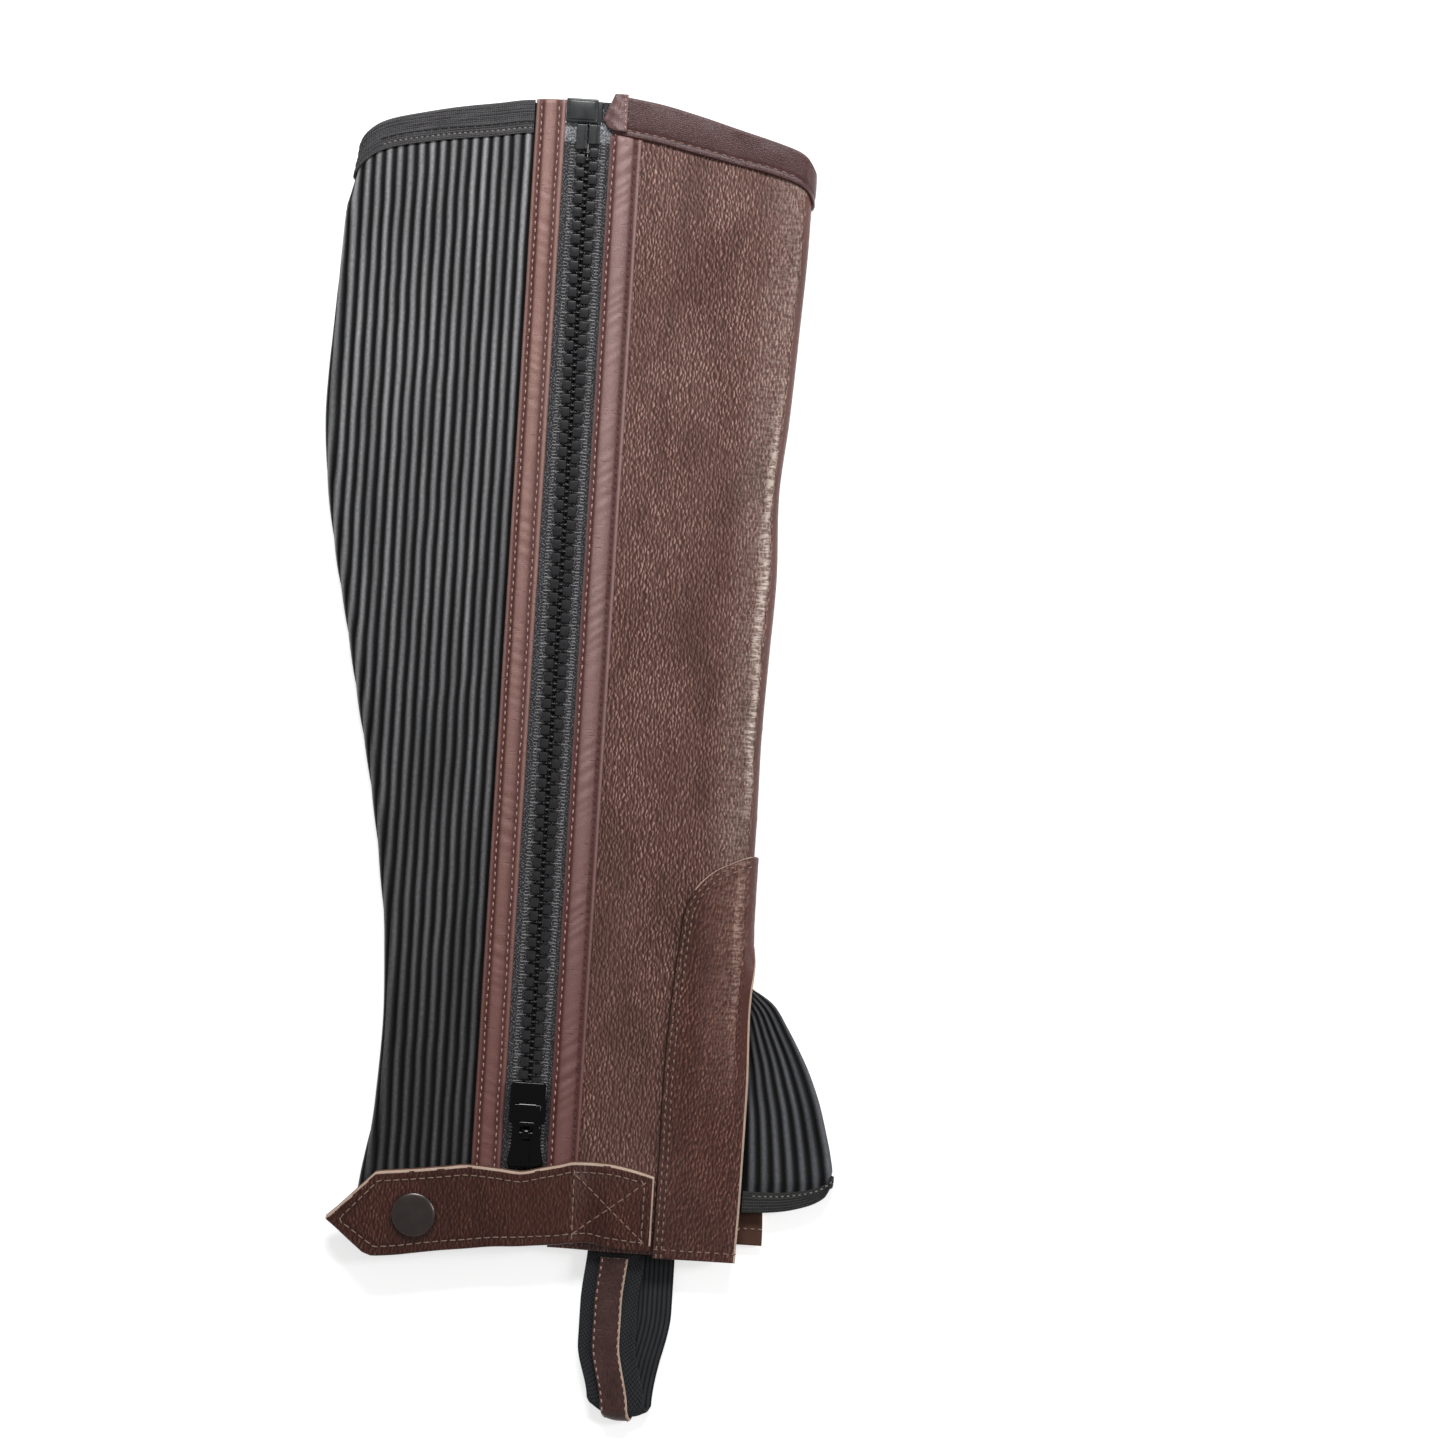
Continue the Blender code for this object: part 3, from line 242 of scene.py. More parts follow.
def pebbled(name, painted_shade_colour, body, fleck_highlight, fold_highlight_colour, depth=0.12, rough=(0.36, 0.6), gain=2.6):
    """Grain of domed cells. The mesh says where it gets a painted highlight (fold > 0), is pulled smooth
    (fold < 0) and gets painted shade at a seam.
    """
    paint = Finish(name, Specular_IOR_Level=0.5)
    bend = paint.noise(paint.cut(3, 5))
    bent = paint.vector("MULTIPLY_ADD", {
        0: bend.beside("Color"), 1: (1.8, 1.2, 0), 2: paint.cut(*PEBBLE, turn=6)})
    looks = [paint.cells(paint.vector("ADD", {0: bent, 1: (step, 0, 0)}))
             for step in (0.0, -FLANK_STEP, FLANK_STEP)]
    dome, left, right = (look.ramp(0.85, 0.05) for look in looks)
    tone, other = paint.split(looks[0].beside("Color"))
    fold, seam = paint.told("fold"), paint.told("seam")
    painted_highlight, calm = fold.at_least(0.0), 1 - (0 - fold).at_least(0.0)
    flank = (left - right) * gain * calm
    cloud = paint.noise(paint.cut(22, 70)).ramp(0.3, 0.7)
    # Slow noise that paints broad hollows darker, as painted shade.
    painted_hollow_shade = paint.noise(paint.cut(17, 46, -6), 2.0, 0.5, 0.5).ramp(0.46, 0.66)
    _, along = paint.split(paint.cut())
    # Painted light falloff: brighter flecks towards the knee, darker cells towards the hem.
    painted_knee_light = along.ramp(*HEM_TO_KNEE)
    # Painted highlight on the flanks that face the window; painted shade on the far flanks and between the
    # cells.
    lit = (flank * (0.3 + 0.9 * tone)).at_least(0.0).at_most(1.0) ** 1.4
    shade = (0.35 * (1 - dome) * calm - 0.8 * flank).at_least(0.0).at_most(1.0)
    ridge = paint.noise(paint.cut(3.2, 1.1, -4), 2.0, 0.5, 0.4).ramp(0.42, 0.62)
    base = paint.blend((0.85 * shade + 0.3 * painted_hollow_shade + 0.15 * (1 - painted_knee_light)).at_most(1.0), body, painted_shade_colour)
    light = lit * (0.3 + 0.6 * cloud + 0.3 * painted_knee_light) * (1 - 0.4 * painted_hollow_shade)
    base = paint.blend(light.at_most(1.0), base, fleck_highlight)
    # Pale painted highlight along the shin fold, broken by its cross ridges.
    base = paint.blend((painted_highlight * (0.25 + 0.75 * ridge)).at_most(1.0), base, fold_highlight_colour)
    # Painted shade along seams and the patch's curved edge.
    base = paint.blend(seam.at_most(1.0), base, [c * 0.6 for c in painted_shade_colour])
    paint.set(Base_Color=base,
              Roughness=rough[1] - (rough[1] - rough[0]) * (dome * (0.4 + 0.6 * cloud)).at_least(painted_highlight),
              Normal=paint.bump((dome * (0.6 + 0.4 * other) * (1 - painted_highlight) + ridge * painted_highlight) * calm, depth))
    return paint.material


panel_leather = pebbled("panel_leather", (68, 40, 33), (102, 68, 60), (184, 147, 136), (242, 222, 208))
patch_leather = pebbled("patch_leather", (60, 31, 25), (92, 54, 46), (168, 124, 110), (218, 182, 166))
strap_leather = pebbled("strap_leather", (52, 25, 18), (80, 43, 34), (126, 90, 78), (120, 70, 54), depth=0.1,
                        rough=(0.28, 0.46), gain=2.2)


# %% [markdown]
# ## Smooth leather, raw edges and the flesh side
# The strips beside the zip and the knee binding are thin smooth leather with a faint grain. Where leather
# is cut and left raw, its pale fibres show at the edge, and its hidden side is brown suede.
# %% Smooth leather, edge and flesh
CALF_SEAMS, SHIN_SEAMS = (-17.2, -10.9), (9.4, 17.2)
# Colour of the painted shade in troughs and wrinkles, and of the strips near the ankle.
PAINTED_TROUGH_SHADE, NEAR_ANKLE = (82, 42, 38), (110, 66, 62)
# Heights over which the painted highlight on the strips grows from the ankle to the knee.
ANKLE_TO_KNEE = (-30, 330)


def smooth(name, dark, light, rough=0.4, seams=()):
    """Smooth leather with painted shade in the troughs of its two seams and in its wrinkles, a painted
    highlight between the seams and on the lips outside them that fades towards the ankle, and redder at the
    ankle.
    """
    paint = Finish(name)
    grain = paint.cells(paint.cut(0.7, 0.7), "DISTANCE_TO_EDGE")
    cloud = paint.noise(paint.cut(7, 9))
    fibre = paint.noise(paint.cut(0.5, 1.4, 35))
    wrinkle = paint.noise(paint.cut(4.5, 0.85, -32), 2.0, 0.5, 0.6)
    wrinkle = wrinkle.ramp(0.56, 0.72) * cloud.ramp(0.4, 0.65)
    share = (0.4 * cloud + 0.6 * fibre).ramp(0.3, 0.7)
    across, along = paint.split(paint.cut())
    if seams:
        middle, half = sum(seams) / 2, abs(seams[1] - seams[0]) / 2
        near = (across - middle + 0.4).size() / half
        # Painted highlight on the puffed middle and on the lips outside the seams, fading towards the ankle.
        share = 0.35 * share + 0.55 * near.ramp(0.95, 0.1) + 0.55 * near.ramp(1.1, 1.3)
        share = share * (0.18 + 0.82 * along.ramp(*ANKLE_TO_KNEE))
        dark = paint.blend(along.ramp(*ANKLE_TO_KNEE), NEAR_ANKLE, dark)
    base = paint.blend(share.at_most(1.0), dark, light)
    # Painted shade in the troughs of the seams, and below it in the wrinkles.
    for at in seams:
        base = paint.blend((across - at).size().ramp(1.6, 0.5) * (0.6 + 0.5 * cloud), base, PAINTED_TROUGH_SHADE)
    base = paint.blend(wrinkle * 0.5, base, PAINTED_TROUGH_SHADE)
    paint.set(Base_Color=base, Roughness=rough + 0.16 * (fibre - 0.5) + 0.1 * cloud,
              Normal=paint.bump(0.4 * grain.ramp(0.0, 0.25) + 0.4 * fibre - 1.2 * wrinkle, 0.09))
    return paint.material


def fibrous(name, dark, light, size=0.4):
    """Matt loose fibres, as on a cut edge and on the flesh side."""
    paint = Finish(name, Roughness=0.95, Specular_IOR_Level=0.2)
    fibre = paint.noise(paint.solid(size), 5.0, 0.7, 0.6)
    cloud = paint.noise(paint.solid(6), 2.0)
    paint.set(Base_Color=paint.blend((fibre * 0.7 + cloud * 0.5 - 0.1), dark, light),
              Normal=paint.bump(fibre, 0.2))
    return paint.material


calf_strip_leather = smooth("calf_strip_leather", (106, 68, 62), (172, 134, 126), seams=CALF_SEAMS)
shin_strip_leather = smooth("shin_strip_leather", (108, 75, 72), (170, 138, 135), seams=SHIN_SEAMS)
loop_leather = smooth("loop_leather", (58, 36, 33), (88, 62, 58), 0.36)
binding_leather = smooth("binding_leather", (68, 42, 42), (92, 61, 61), 0.34)
raw_edge = fibrous("raw_edge", (150, 118, 100), (236, 214, 196), 0.25)
brown_edge = fibrous("brown_edge", (70, 46, 38), (128, 98, 84), 0.25)
suede = fibrous("suede", (62, 42, 34), (104, 78, 66))


# %% [markdown]
# ## Elastic and woven tapes
# The calf panel is ribbed elastic: rows of covered rubber stand up as round cords. The cords are real
# shape, made further down. The material adds their knitted cover, with a pale painted highlight on the
# crests and painted shade, nearly black, in the valleys; the painted highlight fades towards the ankle.
# %% Ribbed elastic
def ribbed(name, dark, crest, painted_highlight):
    """Ribs with a painted highlight on each crest and painted shade in the valleys; the highlight fades
    between two places along the map.
    """
    paint = Finish(name, Specular_IOR_Level=0.25)
    rise = paint.told("crest")
    loop = paint.cells(paint.cut(0.5, 0.75), Randomness=0.55)
    speckle = paint.noise(paint.cut(0.6, 1.6), 2.0)
    cloud = paint.noise(paint.cut(4, 70), 2.0)
    _, along = paint.split(paint.cut())
    # Painted highlight on the crests, fading along the map as painted light falloff; the valleys keep the
    # dark colour as painted shade.
    share = (rise ** 8.0) * (0.35 + 0.8 * speckle) * (0.2 + 1.4 * cloud) * (0.26 + 0.74 * along.ramp(*painted_highlight))
    paint.set(Base_Color=paint.blend(share.at_most(1.0), dark, crest),
              Roughness=0.85 - 0.4 * rise,
              Normal=paint.bump(loop + 0.4 * speckle, 0.1))
    return paint.material


elastic = ribbed("elastic", (4, 5, 6), (176, 176, 179), (20, 400))
# The gusset's copy paints a dimmer highlight on its crests.
gusset_elastic = ribbed("gusset_elastic", (7, 8, 10), (114, 115, 120), (-60, 60))


# %% Woven tapes and webbing
RIB_ACROSS = 1.7
# Length and side edges of the clear film, and the pale colour of its painted reflection.
FILM_LENGTH, FILM_SIDES, FILM_REFLECTION = 7.6, (3.4, 4.2), (176, 180, 184)


def woven(name, thread, dark, light, turn=0, speck=0.25, film_from=None, ribs_from=None):
    """Plain weave of threads so many millimetres wide, with clear film or straight ribs from some v on."""
    paint = Finish(name, Roughness=0.85, Specular_IOR_Level=0.3)
    across, along = paint.split(paint.cut(thread, thread, turn))
    warp = (across * math.pi).sine().size()
    weft = (along * math.pi).sine().size()
    over = (((across * 0.5 + along * 0.5).fraction() - 0.5).size() * 2).ramp(0.35, 0.65)
    height = over * warp + (1 - over) * weft
    if ribs_from is not None:
        x, v = paint.split(paint.cut())
        rib = (x * (math.pi / RIB_ACROSS)).sine().size()
        height = height + v.ramp(ribs_from, ribs_from + 1) * (rib - height)
    cloud = paint.noise(paint.cut(3, 7))
    # Pale specks on the weave.
    pale_specks = paint.noise(paint.cut(0.55, 0.55, 25), 2.0, 0.6).ramp(0.5, 0.66)
    share = height * (1 - speck) * (0.4 + 0.6 * cloud) + speck * pale_specks
    base = paint.blend(share.at_most(1.0), dark, light)
    if film_from is not None:
        x, v = paint.split(paint.cut())
        # The clear film shows as pale crinkles, a painted reflection.
        crinkle_reflection = paint.noise(paint.cut(1.0, 1.9, 20), 3.0, 0.6, 1.6).ramp(0.46, 0.58)
        film_to = film_from + FILM_LENGTH
        film = v.ramp(film_from, film_from + 0.6) * v.ramp(film_to, film_to - 0.6)
        film = film * x.size().ramp(*FILM_SIDES)
        base = paint.blend(film * (0.2 + 0.8 * crinkle_reflection), base, FILM_REFLECTION)
    paint.set(Base_Color=base, Normal=paint.bump(height, 0.12))
    return paint.material


tape_weave = woven("tape_weave", 0.85, (6, 6, 8), (140, 140, 144), 35, 0.75, film_from=398.6)
binding_weave = woven("binding_weave", 0.7, (20, 20, 22), (120, 118, 120))
# Darker copy of the binding weave for the gusset's hem, as painted shade where the light is weaker.
hem_weave = woven("hem_weave", 0.7, (17, 17, 18), (92, 92, 91))
webbing_weave = woven("webbing_weave", 1.1, (12, 13, 15), (70, 72, 75), 35, 0.1, ribs_from=94)


# %% [markdown]
# ## Plastic, enamel and metal
# The zip's teeth are moulded plastic with a satin skin. The slider is glossy black enamel, and the snap's
# cap is dark gunmetal with fine wear.
# %% Hard finishes
def hard(name, dark, light, rough, metallic=0.0, depth=0.01, cell=1.5, shine=0.5):
    """Hard shiny skin with a slow change of tone and fine wear."""
    paint = Finish(name, Metallic=metallic, Specular_IOR_Level=shine)
    cloud = paint.noise(paint.solid(cell), 2.0)
    wear = paint.noise(paint.solid(cell * 0.12), 2.0)
    paint.set(Base_Color=paint.blend(cloud, dark, light),
              Roughness=rough[0] + (rough[1] - rough[0]) * wear,
              Normal=paint.bump(wear, depth))
    return paint.material


plastic = hard("tooth_plastic", (30, 30, 31), (54, 54, 56), (0.24, 0.38))
end_plastic = hard("zip_end_plastic", (40, 41, 42), (74, 75, 76), (0.22, 0.34), cell=3.0)
enamel = hard("black_enamel", (1, 1, 2), (4, 3, 5), (0.05, 0.09), depth=0.002, shine=0.32)
gunmetal = hard("gunmetal", (84, 76, 74), (112, 103, 100), (0.26, 0.4), metallic=1.0, depth=0.004,
                cell=6.0)


# %% [markdown]
# ## Floor and light
# The picture was taken on a white table by daylight. A weak white world stands for the room. The light
# comes from a large soft lamp beyond the knee end. It stands rather low, so it fades towards the ankle
# and rakes over the grain. A second lamp on the shin side lights the fold. The table glows a little, so
# that shadows on it stay faint.
# %% Floor and light
FLOOR_SIDE = 4.0

world = bpy.data.worlds.new("daylight")
world.use_nodes = True
sky = world.node_tree.nodes["Background"]
sky.inputs["Color"].default_value = (1.0, 1.0, 1.0, 1.0)
sky.inputs["Strength"].default_value = 0.25
bpy.context.scene.world = world
bpy.context.scene.view_settings.view_transform = "Standard"

floor_paint = Finish("floor_paint", Roughness=0.9, Specular_IOR_Level=0.1, Emission_Strength=0.6,
                     Emission_Color=(1.0, 1.0, 1.0, 1.0))
floor_paint.set(Base_Color=floor_paint.blend(
    floor_paint.noise(floor_paint.solid(300), 2.0), (252, 252, 252), (255, 255, 255)))

floor_mesh = bpy.data.meshes.new("floor")
half = FLOOR_SIDE / 2
floor_mesh.from_pydata([(-half, -half, 0), (half, -half, 0), (half, half, 0), (-half, half, 0)], [],
                       [(0, 1, 2, 3)])
floor_mesh.materials.append(floor_paint.material)
floor = in_scene("floor", floor_mesh)


def lamp(name, place, size, power):
    """Soft rectangular lamp that looks at the middle of the half chap."""
    light = bpy.data.lights.new(name, "AREA")
    light.shape = "RECTANGLE"
    light.size, light.size_y = size
    light.energy = power
    holder = in_scene(name, light)
    holder.location = place
    holder.rotation_euler = (-Vector(place)).to_track_quat("-Z", "Y").to_euler()


lamp("window", (0.0, 0.85, 0.75), (0.5, 0.2), 9.0)
lamp("side_window", (0.9, 0.15, 0.7), (0.15, 0.5), 3.0)


# %% [markdown]
# ## The flattened leg
# All the cloth lies on one form: a tube that was laid flat. Its outer face is drawn with a few smooth
# curves in millimetres. x runs across the leg from the middle of the zip, v up the leg from the leather's
# hem, z up from the table. u is the distance along the cloth from the zip, so that a seam at one u stays
# one line of the cloth on the outer side, round a fold and on the inner side.
# %% Smooth curves and soft steps
def ease(start, end, t):
    """0 before start, 1 after end, and a soft step between."""
    s = np.clip((t - start) / (end - start), 0.0, 1.0)
    return s * s * (3 - 2 * s)


def mix(a, b, share):
    return a + (b - a) * share


def matched(*values):
    """Arrays of one shape."""
    return [np.array(value, float) for value in np.broadcast_arrays(*values)]


def paired(a, b):
    """Pairs, as the last axis of an array."""
    return np.stack(np.broadcast_arrays(a, b), -1)


def nearest(*distances):
    """The smallest of several distances, place by place."""
    return np.minimum.reduce(np.broadcast_arrays(*distances))


def slopes(at, value):
    """Slopes that keep a smooth curve from swinging past its points."""
    step = np.diff(value, axis=0) / np.diff(at, axis=0)
    before, after = step[:-1], step[1:]
    same_way = before * after > 0
    total = np.where(same_way, before + after, 1.0)
    inner = np.where(same_way, 2 * before * after / total, 0.0)
    return np.concatenate((step[:1], inner, step[-1:]))


def through(at, value, t):
    """Smooth curve through points; the points may differ from place to place."""
    slope = slopes(at, value)
    t = np.clip(t, at[0], at[-1])
    result = np.zeros(np.shape(t)) + value[0]
    for k in range(len(at) - 1):
        width = at[k + 1] - at[k]
        s = (t - at[k]) / width
        a, b, p, q = value[k], value[k + 1], slope[k] * width, slope[k + 1] * width
        piece = a + p * s + (3 * (b - a) - 2 * p - q) * s ** 2 + (2 * (a - b) + p + q) * s ** 3
        result = np.where(t >= at[k], piece, result)
    return result


class Curve:
    """Smooth curve through the rows of a table."""

    def __init__(self, rows, column=1):
        self.at = np.array([row[0] for row in rows], float)
        self.value = np.array([row[column] for row in rows], float)

    def __call__(self, t):
        return through(self.at, self.value, np.asarray(t, float))


# %% Outline and height of the leg
MIDDLE_X, MIDDLE_V = 11.475, 178.225
GAP, SEAM_GAP = 0.3, 0.6
LEATHER, ELASTIC, BINDING, PATCH = 2.0, 1.8, 0.9, 1.3
SHIN_RADIUS, CALF_RADIUS = 3.9, 3.6
QUARTER = SHIN_RADIUS * math.pi / 2
RIB_PITCH, RIB_HEIGHT, RIB_START, MOST_RIBS = 3.78, 0.9, 19.8, 24
OUTER_HEM, INNER_HEM, FLAP_CORNER = 1.0, 5.8, 87.0
SLIT_TOP, SLIT_FLAT = 114.0, 99.0

# Height up the leg, x of the outermost rib.
calf_edge = Curve((
    (0, -62.5), (21, -59.5), (50, -55.6), (79, -54.5), (108, -55.9), (136, -59.5), (165, -64.6),
    (193, -70.7), (222, -76.8), (250, -82.9), (279, -87.5), (300, -88.8), (330, -87.8),
    (368, -85.9), (395, -81.9), (420, -81.0)))
# Height up the leg, x of the shin fold.
shin_edge = Curve((
    (0, 75.4), (26, 76.0), (62, 76.2), (91, 75.4), (106, 76.0), (130, 75.6), (160, 75.8),
    (185, 75.6), (217, 76.5), (246, 77.5), (275, 76.5), (304, 78.6), (333, 80.1), (372, 81.6),
    (420, 81.7)))
# Height up the leg, height of the face at the calf, the zip and the shin.
FACE = ((0, 6.4, 6.6, 9.6), (14, 6.4, 6.6, 9.6), (40, 5.9, 6.3, 6.8), (80, 5.5, 6.0, 5.8),
        (146, 5.5, 5.9, 5.6), (250, 5.6, 6.0, 5.5), (330, 5.8, 6.1, 5.7), (376, 8.2, 8.2, 8.2),
        (420, 8.2, 8.2, 8.2))
calf_level, zip_level, shin_level = (Curve(FACE, column) for column in (1, 2, 3))
SLIT_TURN = np.array(((0, 0), (SLIT_FLAT, 0), (104, 20), (109, 50), (SLIT_TOP, 90), (420, 90)), float)


# Where the inner side makes room under itself: none here, full here.
KNEE_ROOM, PATCH_ROOM_ACROSS, PATCH_ROOM_UP = (352, 374), (33, 45), (164, 150)
HEM_ROOM_ACROSS, HEM_ROOM_UP = (-28, -40), (32, 18)


def lift(x, v):
    """Height of the inner side above the table, which makes room for bindings and patch."""
    knee = (BINDING + GAP) * ease(*KNEE_ROOM, v)
    patch = (PATCH + GAP) * ease(*PATCH_ROOM_ACROSS, x) * ease(*PATCH_ROOM_UP, v)
    hem = (BINDING + GAP) * ease(*HEM_ROOM_ACROSS, x) * ease(*HEM_ROOM_UP, v)
    return knee + patch + hem


def folds(v):
    """x of the middles of the shin fold and the calf fold."""
    return shin_edge(v) - SHIN_RADIUS, calf_edge(v) + RIB_HEIGHT + CALF_RADIUS


ZIP_FLAT = 12
CALF_LEVEL_AT, SHIN_LEVEL_AT = 0.55, 0.5


def face(x, v):
    """Height of the outer face between the two folds."""
    shin, calf = folds(v)
    calf_top = lift(calf, v) + 2 * CALF_RADIUS
    shin_top = lift(shin, v) + 2 * SHIN_RADIUS
    at = (calf - CALF_RADIUS, calf, calf * CALF_LEVEL_AT, -ZIP_FLAT, ZIP_FLAT, shin * SHIN_LEVEL_AT, shin,
          shin + SHIN_RADIUS)
    height = (calf_top, calf_top, calf_level(v), zip_level(v), zip_level(v), shin_level(v),
              shin_top, shin_top)
    return through(np.stack(np.broadcast_arrays(*at)), np.stack(np.broadcast_arrays(*height)), x)


# %% [markdown]
# `panel` turns a place on the cloth into a place in space. `out` is the distance from the outer face, so
# the same call gives the face, its back, or a strip that lies on it. Over the instep the shin fold is
# slit, and its two halves unroll into flat flaps.
# %% Places on the cloth
def inner_flap_reach(v):
    """How far the inner flap stands out past the outer one."""
    return ease(SLIT_FLAT, INNER_HEM, v) * (FLAP_CORNER - shin_edge(v) + SHIN_RADIUS - QUARTER)


def shin_fold(u, v, out, shin):
    """x and z on the shin fold."""
    upper = u <= shin + QUARTER
    along = np.where(upper, u - shin, shin + 2 * QUARTER - u)
    turned = np.interp(v, SLIT_TURN[:, 0], SLIT_TURN[:, 1])
    radius = QUARTER / np.maximum(np.radians(turned), 0.001)
    turn = along / radius
    drop = radius * (1 - np.cos(turn))
    x = shin + radius * np.sin(turn) + out * np.sin(turn)
    x += np.where(upper, 0, inner_flap_reach(v) * along / QUARTER)
    top = face(shin, v) - drop + out * np.cos(turn)
    low = lift(shin, v) + drop - out * np.cos(turn)
    return x, np.where(upper, top, low)


def panel(u, v, out=0.0):
    """Places at distance out from the outer face of the flattened leg, as an array of x, v, z."""
    u, v, out = matched(u, v, out)
    shin, calf = folds(v)
    turn = (calf - u) / CALF_RADIUS
    reach = CALF_RADIUS + out
    under_calf = 2 * calf - u - math.pi * CALF_RADIUS
    under_shin = 2 * (shin + QUARTER) - u
    fold_x, fold_z = shin_fold(u, v, out, shin)
    zones = (u > shin + 2 * QUARTER, u > shin, u >= calf, turn <= math.pi)
    x = np.select(zones, (under_shin, fold_x, u, calf - reach * np.sin(turn)), under_calf)
    z = np.select(zones, (lift(under_shin, v) - out, fold_z, face(u, v) + out,
                          lift(calf, v) + CALF_RADIUS + reach * np.cos(turn)),
                  lift(under_calf, v) - out)
    return np.stack((x, v, z), axis=-1)


BACK_SEAM_INSET = 10


def back_seam(v):
    """u of the back seam, seen from the elastic and from the leather."""
    shin, calf = folds(v)
    x = calf_edge(v) + BACK_SEAM_INSET
    return 2 * calf - math.pi * CALF_RADIUS - x + SEAM_GAP / 2, 2 * (shin + QUARTER) - x - SEAM_GAP / 2


print("leg:", np.round(panel(np.array([-60.0, 0.0, 60.0]), np.array([200.0] * 3)), 1).tolist())


# %% [markdown]
# ## From a sheet of points to a piece of cloth
# Cloth has two faces and an edge. `cloth` takes one or more grids of points for the outer face, with
# their partners on the inner face, joins grids that touch, and closes the rim. Blender's Solidify
# modifier could do it too, but here the two faces follow different rules at the folds. Each face, and the
# cut edge, has its own finish. Where leather is cut at a slant, the pale cut shows from above, and a
# sheet can mark those points of its outer face as raw.
# %% Closed cloth from grids
def sheet_of(outer, inner, cut, **facts):
    """Grid of a sheet: outer and inner points, its map in millimetres and other numbers at its points."""
    return {"outer": outer, "inner": inner, "cut": cut, "facts": facts}


def on_leg(u, v, out, back, **facts):
    """Sheet on the leg, between two distances from the leg's outer face."""
    return sheet_of(panel(u, v, out), panel(u, v, back), paired(u, v), **facts)


def joined(sheets, key, width):
    return np.concatenate([np.reshape(s[key], (-1, width)) for s in sheets])


def welded(sheets):
    """Points of the sheets without doubles, and the index grid of each sheet."""
    outer, inner = joined(sheets, "outer", 3), joined(sheets, "inner", 3)
    _, first, index = np.unique(np.round(np.hstack((outer, inner)), 3), axis=0,
                                return_index=True, return_inverse=True)
    index = index.reshape(-1)
    grids, start = [], 0
    for s in sheets:
        rows, columns = s["outer"].shape[:2]
        grids.append(index[start:start + rows * columns].reshape(rows, columns))
        start += rows * columns
    return outer[first], inner[first], first, grids


def grid_faces(grids):
    """Quads of the index grids, without those that have shrunk to a line."""
    quads = []
    for g in grids:
        quads.append(np.stack((g[:-1, :-1], g[:-1, 1:], g[1:, 1:], g[1:, :-1]), axis=-1).reshape(-1, 4))
    faces = []
    for quad in np.concatenate(quads).tolist():
        loop = [c for k, c in enumerate(quad) if c != quad[k - 1]]
        if len(set(loop)) >= 3:
            faces.append(loop)
    return faces


def rim_faces(faces, count):
    """Faces between the two sides of the cloth, along each edge that only one face uses."""
    edges = [(loop[k - 1], c) for loop in faces for k, c in enumerate(loop)]
    known = set(edges)
    return [(b, a, a + count, b + count) for a, b in edges if (b, a) not in known]


def volume(points, faces):
    """Six times the volume inside; its sign says which way the faces point."""
    total = 0.0
    for size in {len(loop) for loop in faces}:
        corners = points[np.array([loop for loop in faces if len(loop) == size])]
        for k in range(1, size - 1):
            total += np.sum(corners[:, 0] * np.cross(corners[:, k], corners[:, k + 1]))
    return total


def solid_mesh(name, points, faces, finishes, kinds=None, sharp=50):
    """Mesh in metres, in the frame's own place, from points in the drawing's millimetres."""
    data = bpy.data.meshes.new(name)
    data.from_pydata((np.asarray(points) - (MIDDLE_X, MIDDLE_V, 0)) * MM, [], faces)
    for finish in finishes:
        data.materials.append(finish)
    if kinds is not None:
        data.polygons.foreach_set("material_index", kinds)
    data.shade_smooth()
    data.set_sharp_from_angle(angle=math.radians(sharp))
    return data


def lay_map(data, cut):
    """Give a mesh its map in millimetres, from the place of each point on the cut piece."""
    layer = data.uv_layers.new(name="cut")
    at = np.zeros(len(data.loops), np.int32)
    data.loops.foreach_get("vertex_index", at)
    layer.data.foreach_set("uv", np.asarray(cut)[at].astype(np.float32).ravel())


def cloth(name, sheets, finishes):
    """Piece of cloth with an outer face, an inner face and a rim."""
    outer, inner, first, grids = welded(sheets)
    faces = grid_faces(grids)
    count = len(outer)
    back = [[c + count for c in reversed(loop)] for loop in faces]
    rim = rim_faces(faces, count)
    raw = np.concatenate([np.ravel(s.get("raw", 0 * s["outer"][..., 0])) for s in sheets])[first] > 0
    kinds = [2 if raw[loop].all() else 0 for loop in faces] + [1] * len(back) + [2] * len(rim)
    points = np.concatenate((outer, inner))
    every = faces + back + rim
    if volume(points, every) < 0:
        every = [list(reversed(loop)) for loop in every]
    data = solid_mesh(name, points, every, finishes, kinds)
    cut = joined(sheets, "cut", 2)[first]
    lay_map(data, np.concatenate((cut, cut)))
    for fact in sheets[0]["facts"]:
        value = np.concatenate([np.ravel(s["facts"][fact]) for s in sheets])[first]
        spot = data.attributes.new(fact, "FLOAT", "POINT")
        spot.data.foreach_set("value", np.concatenate((value, value * 0)).astype(np.float32))
    return in_scene(name, data)


def settle(piece, slot, *nodes, body="chap"):
    """Hand a finished piece over to the frame and say how big it came out."""
    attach(piece, body)
    if nodes:
        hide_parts(*nodes)
    triangles = sum(len(p.vertices) - 2 for p in piece.data.polygons)
    print(f"{piece.name}: {triangles} triangles")
    return piece


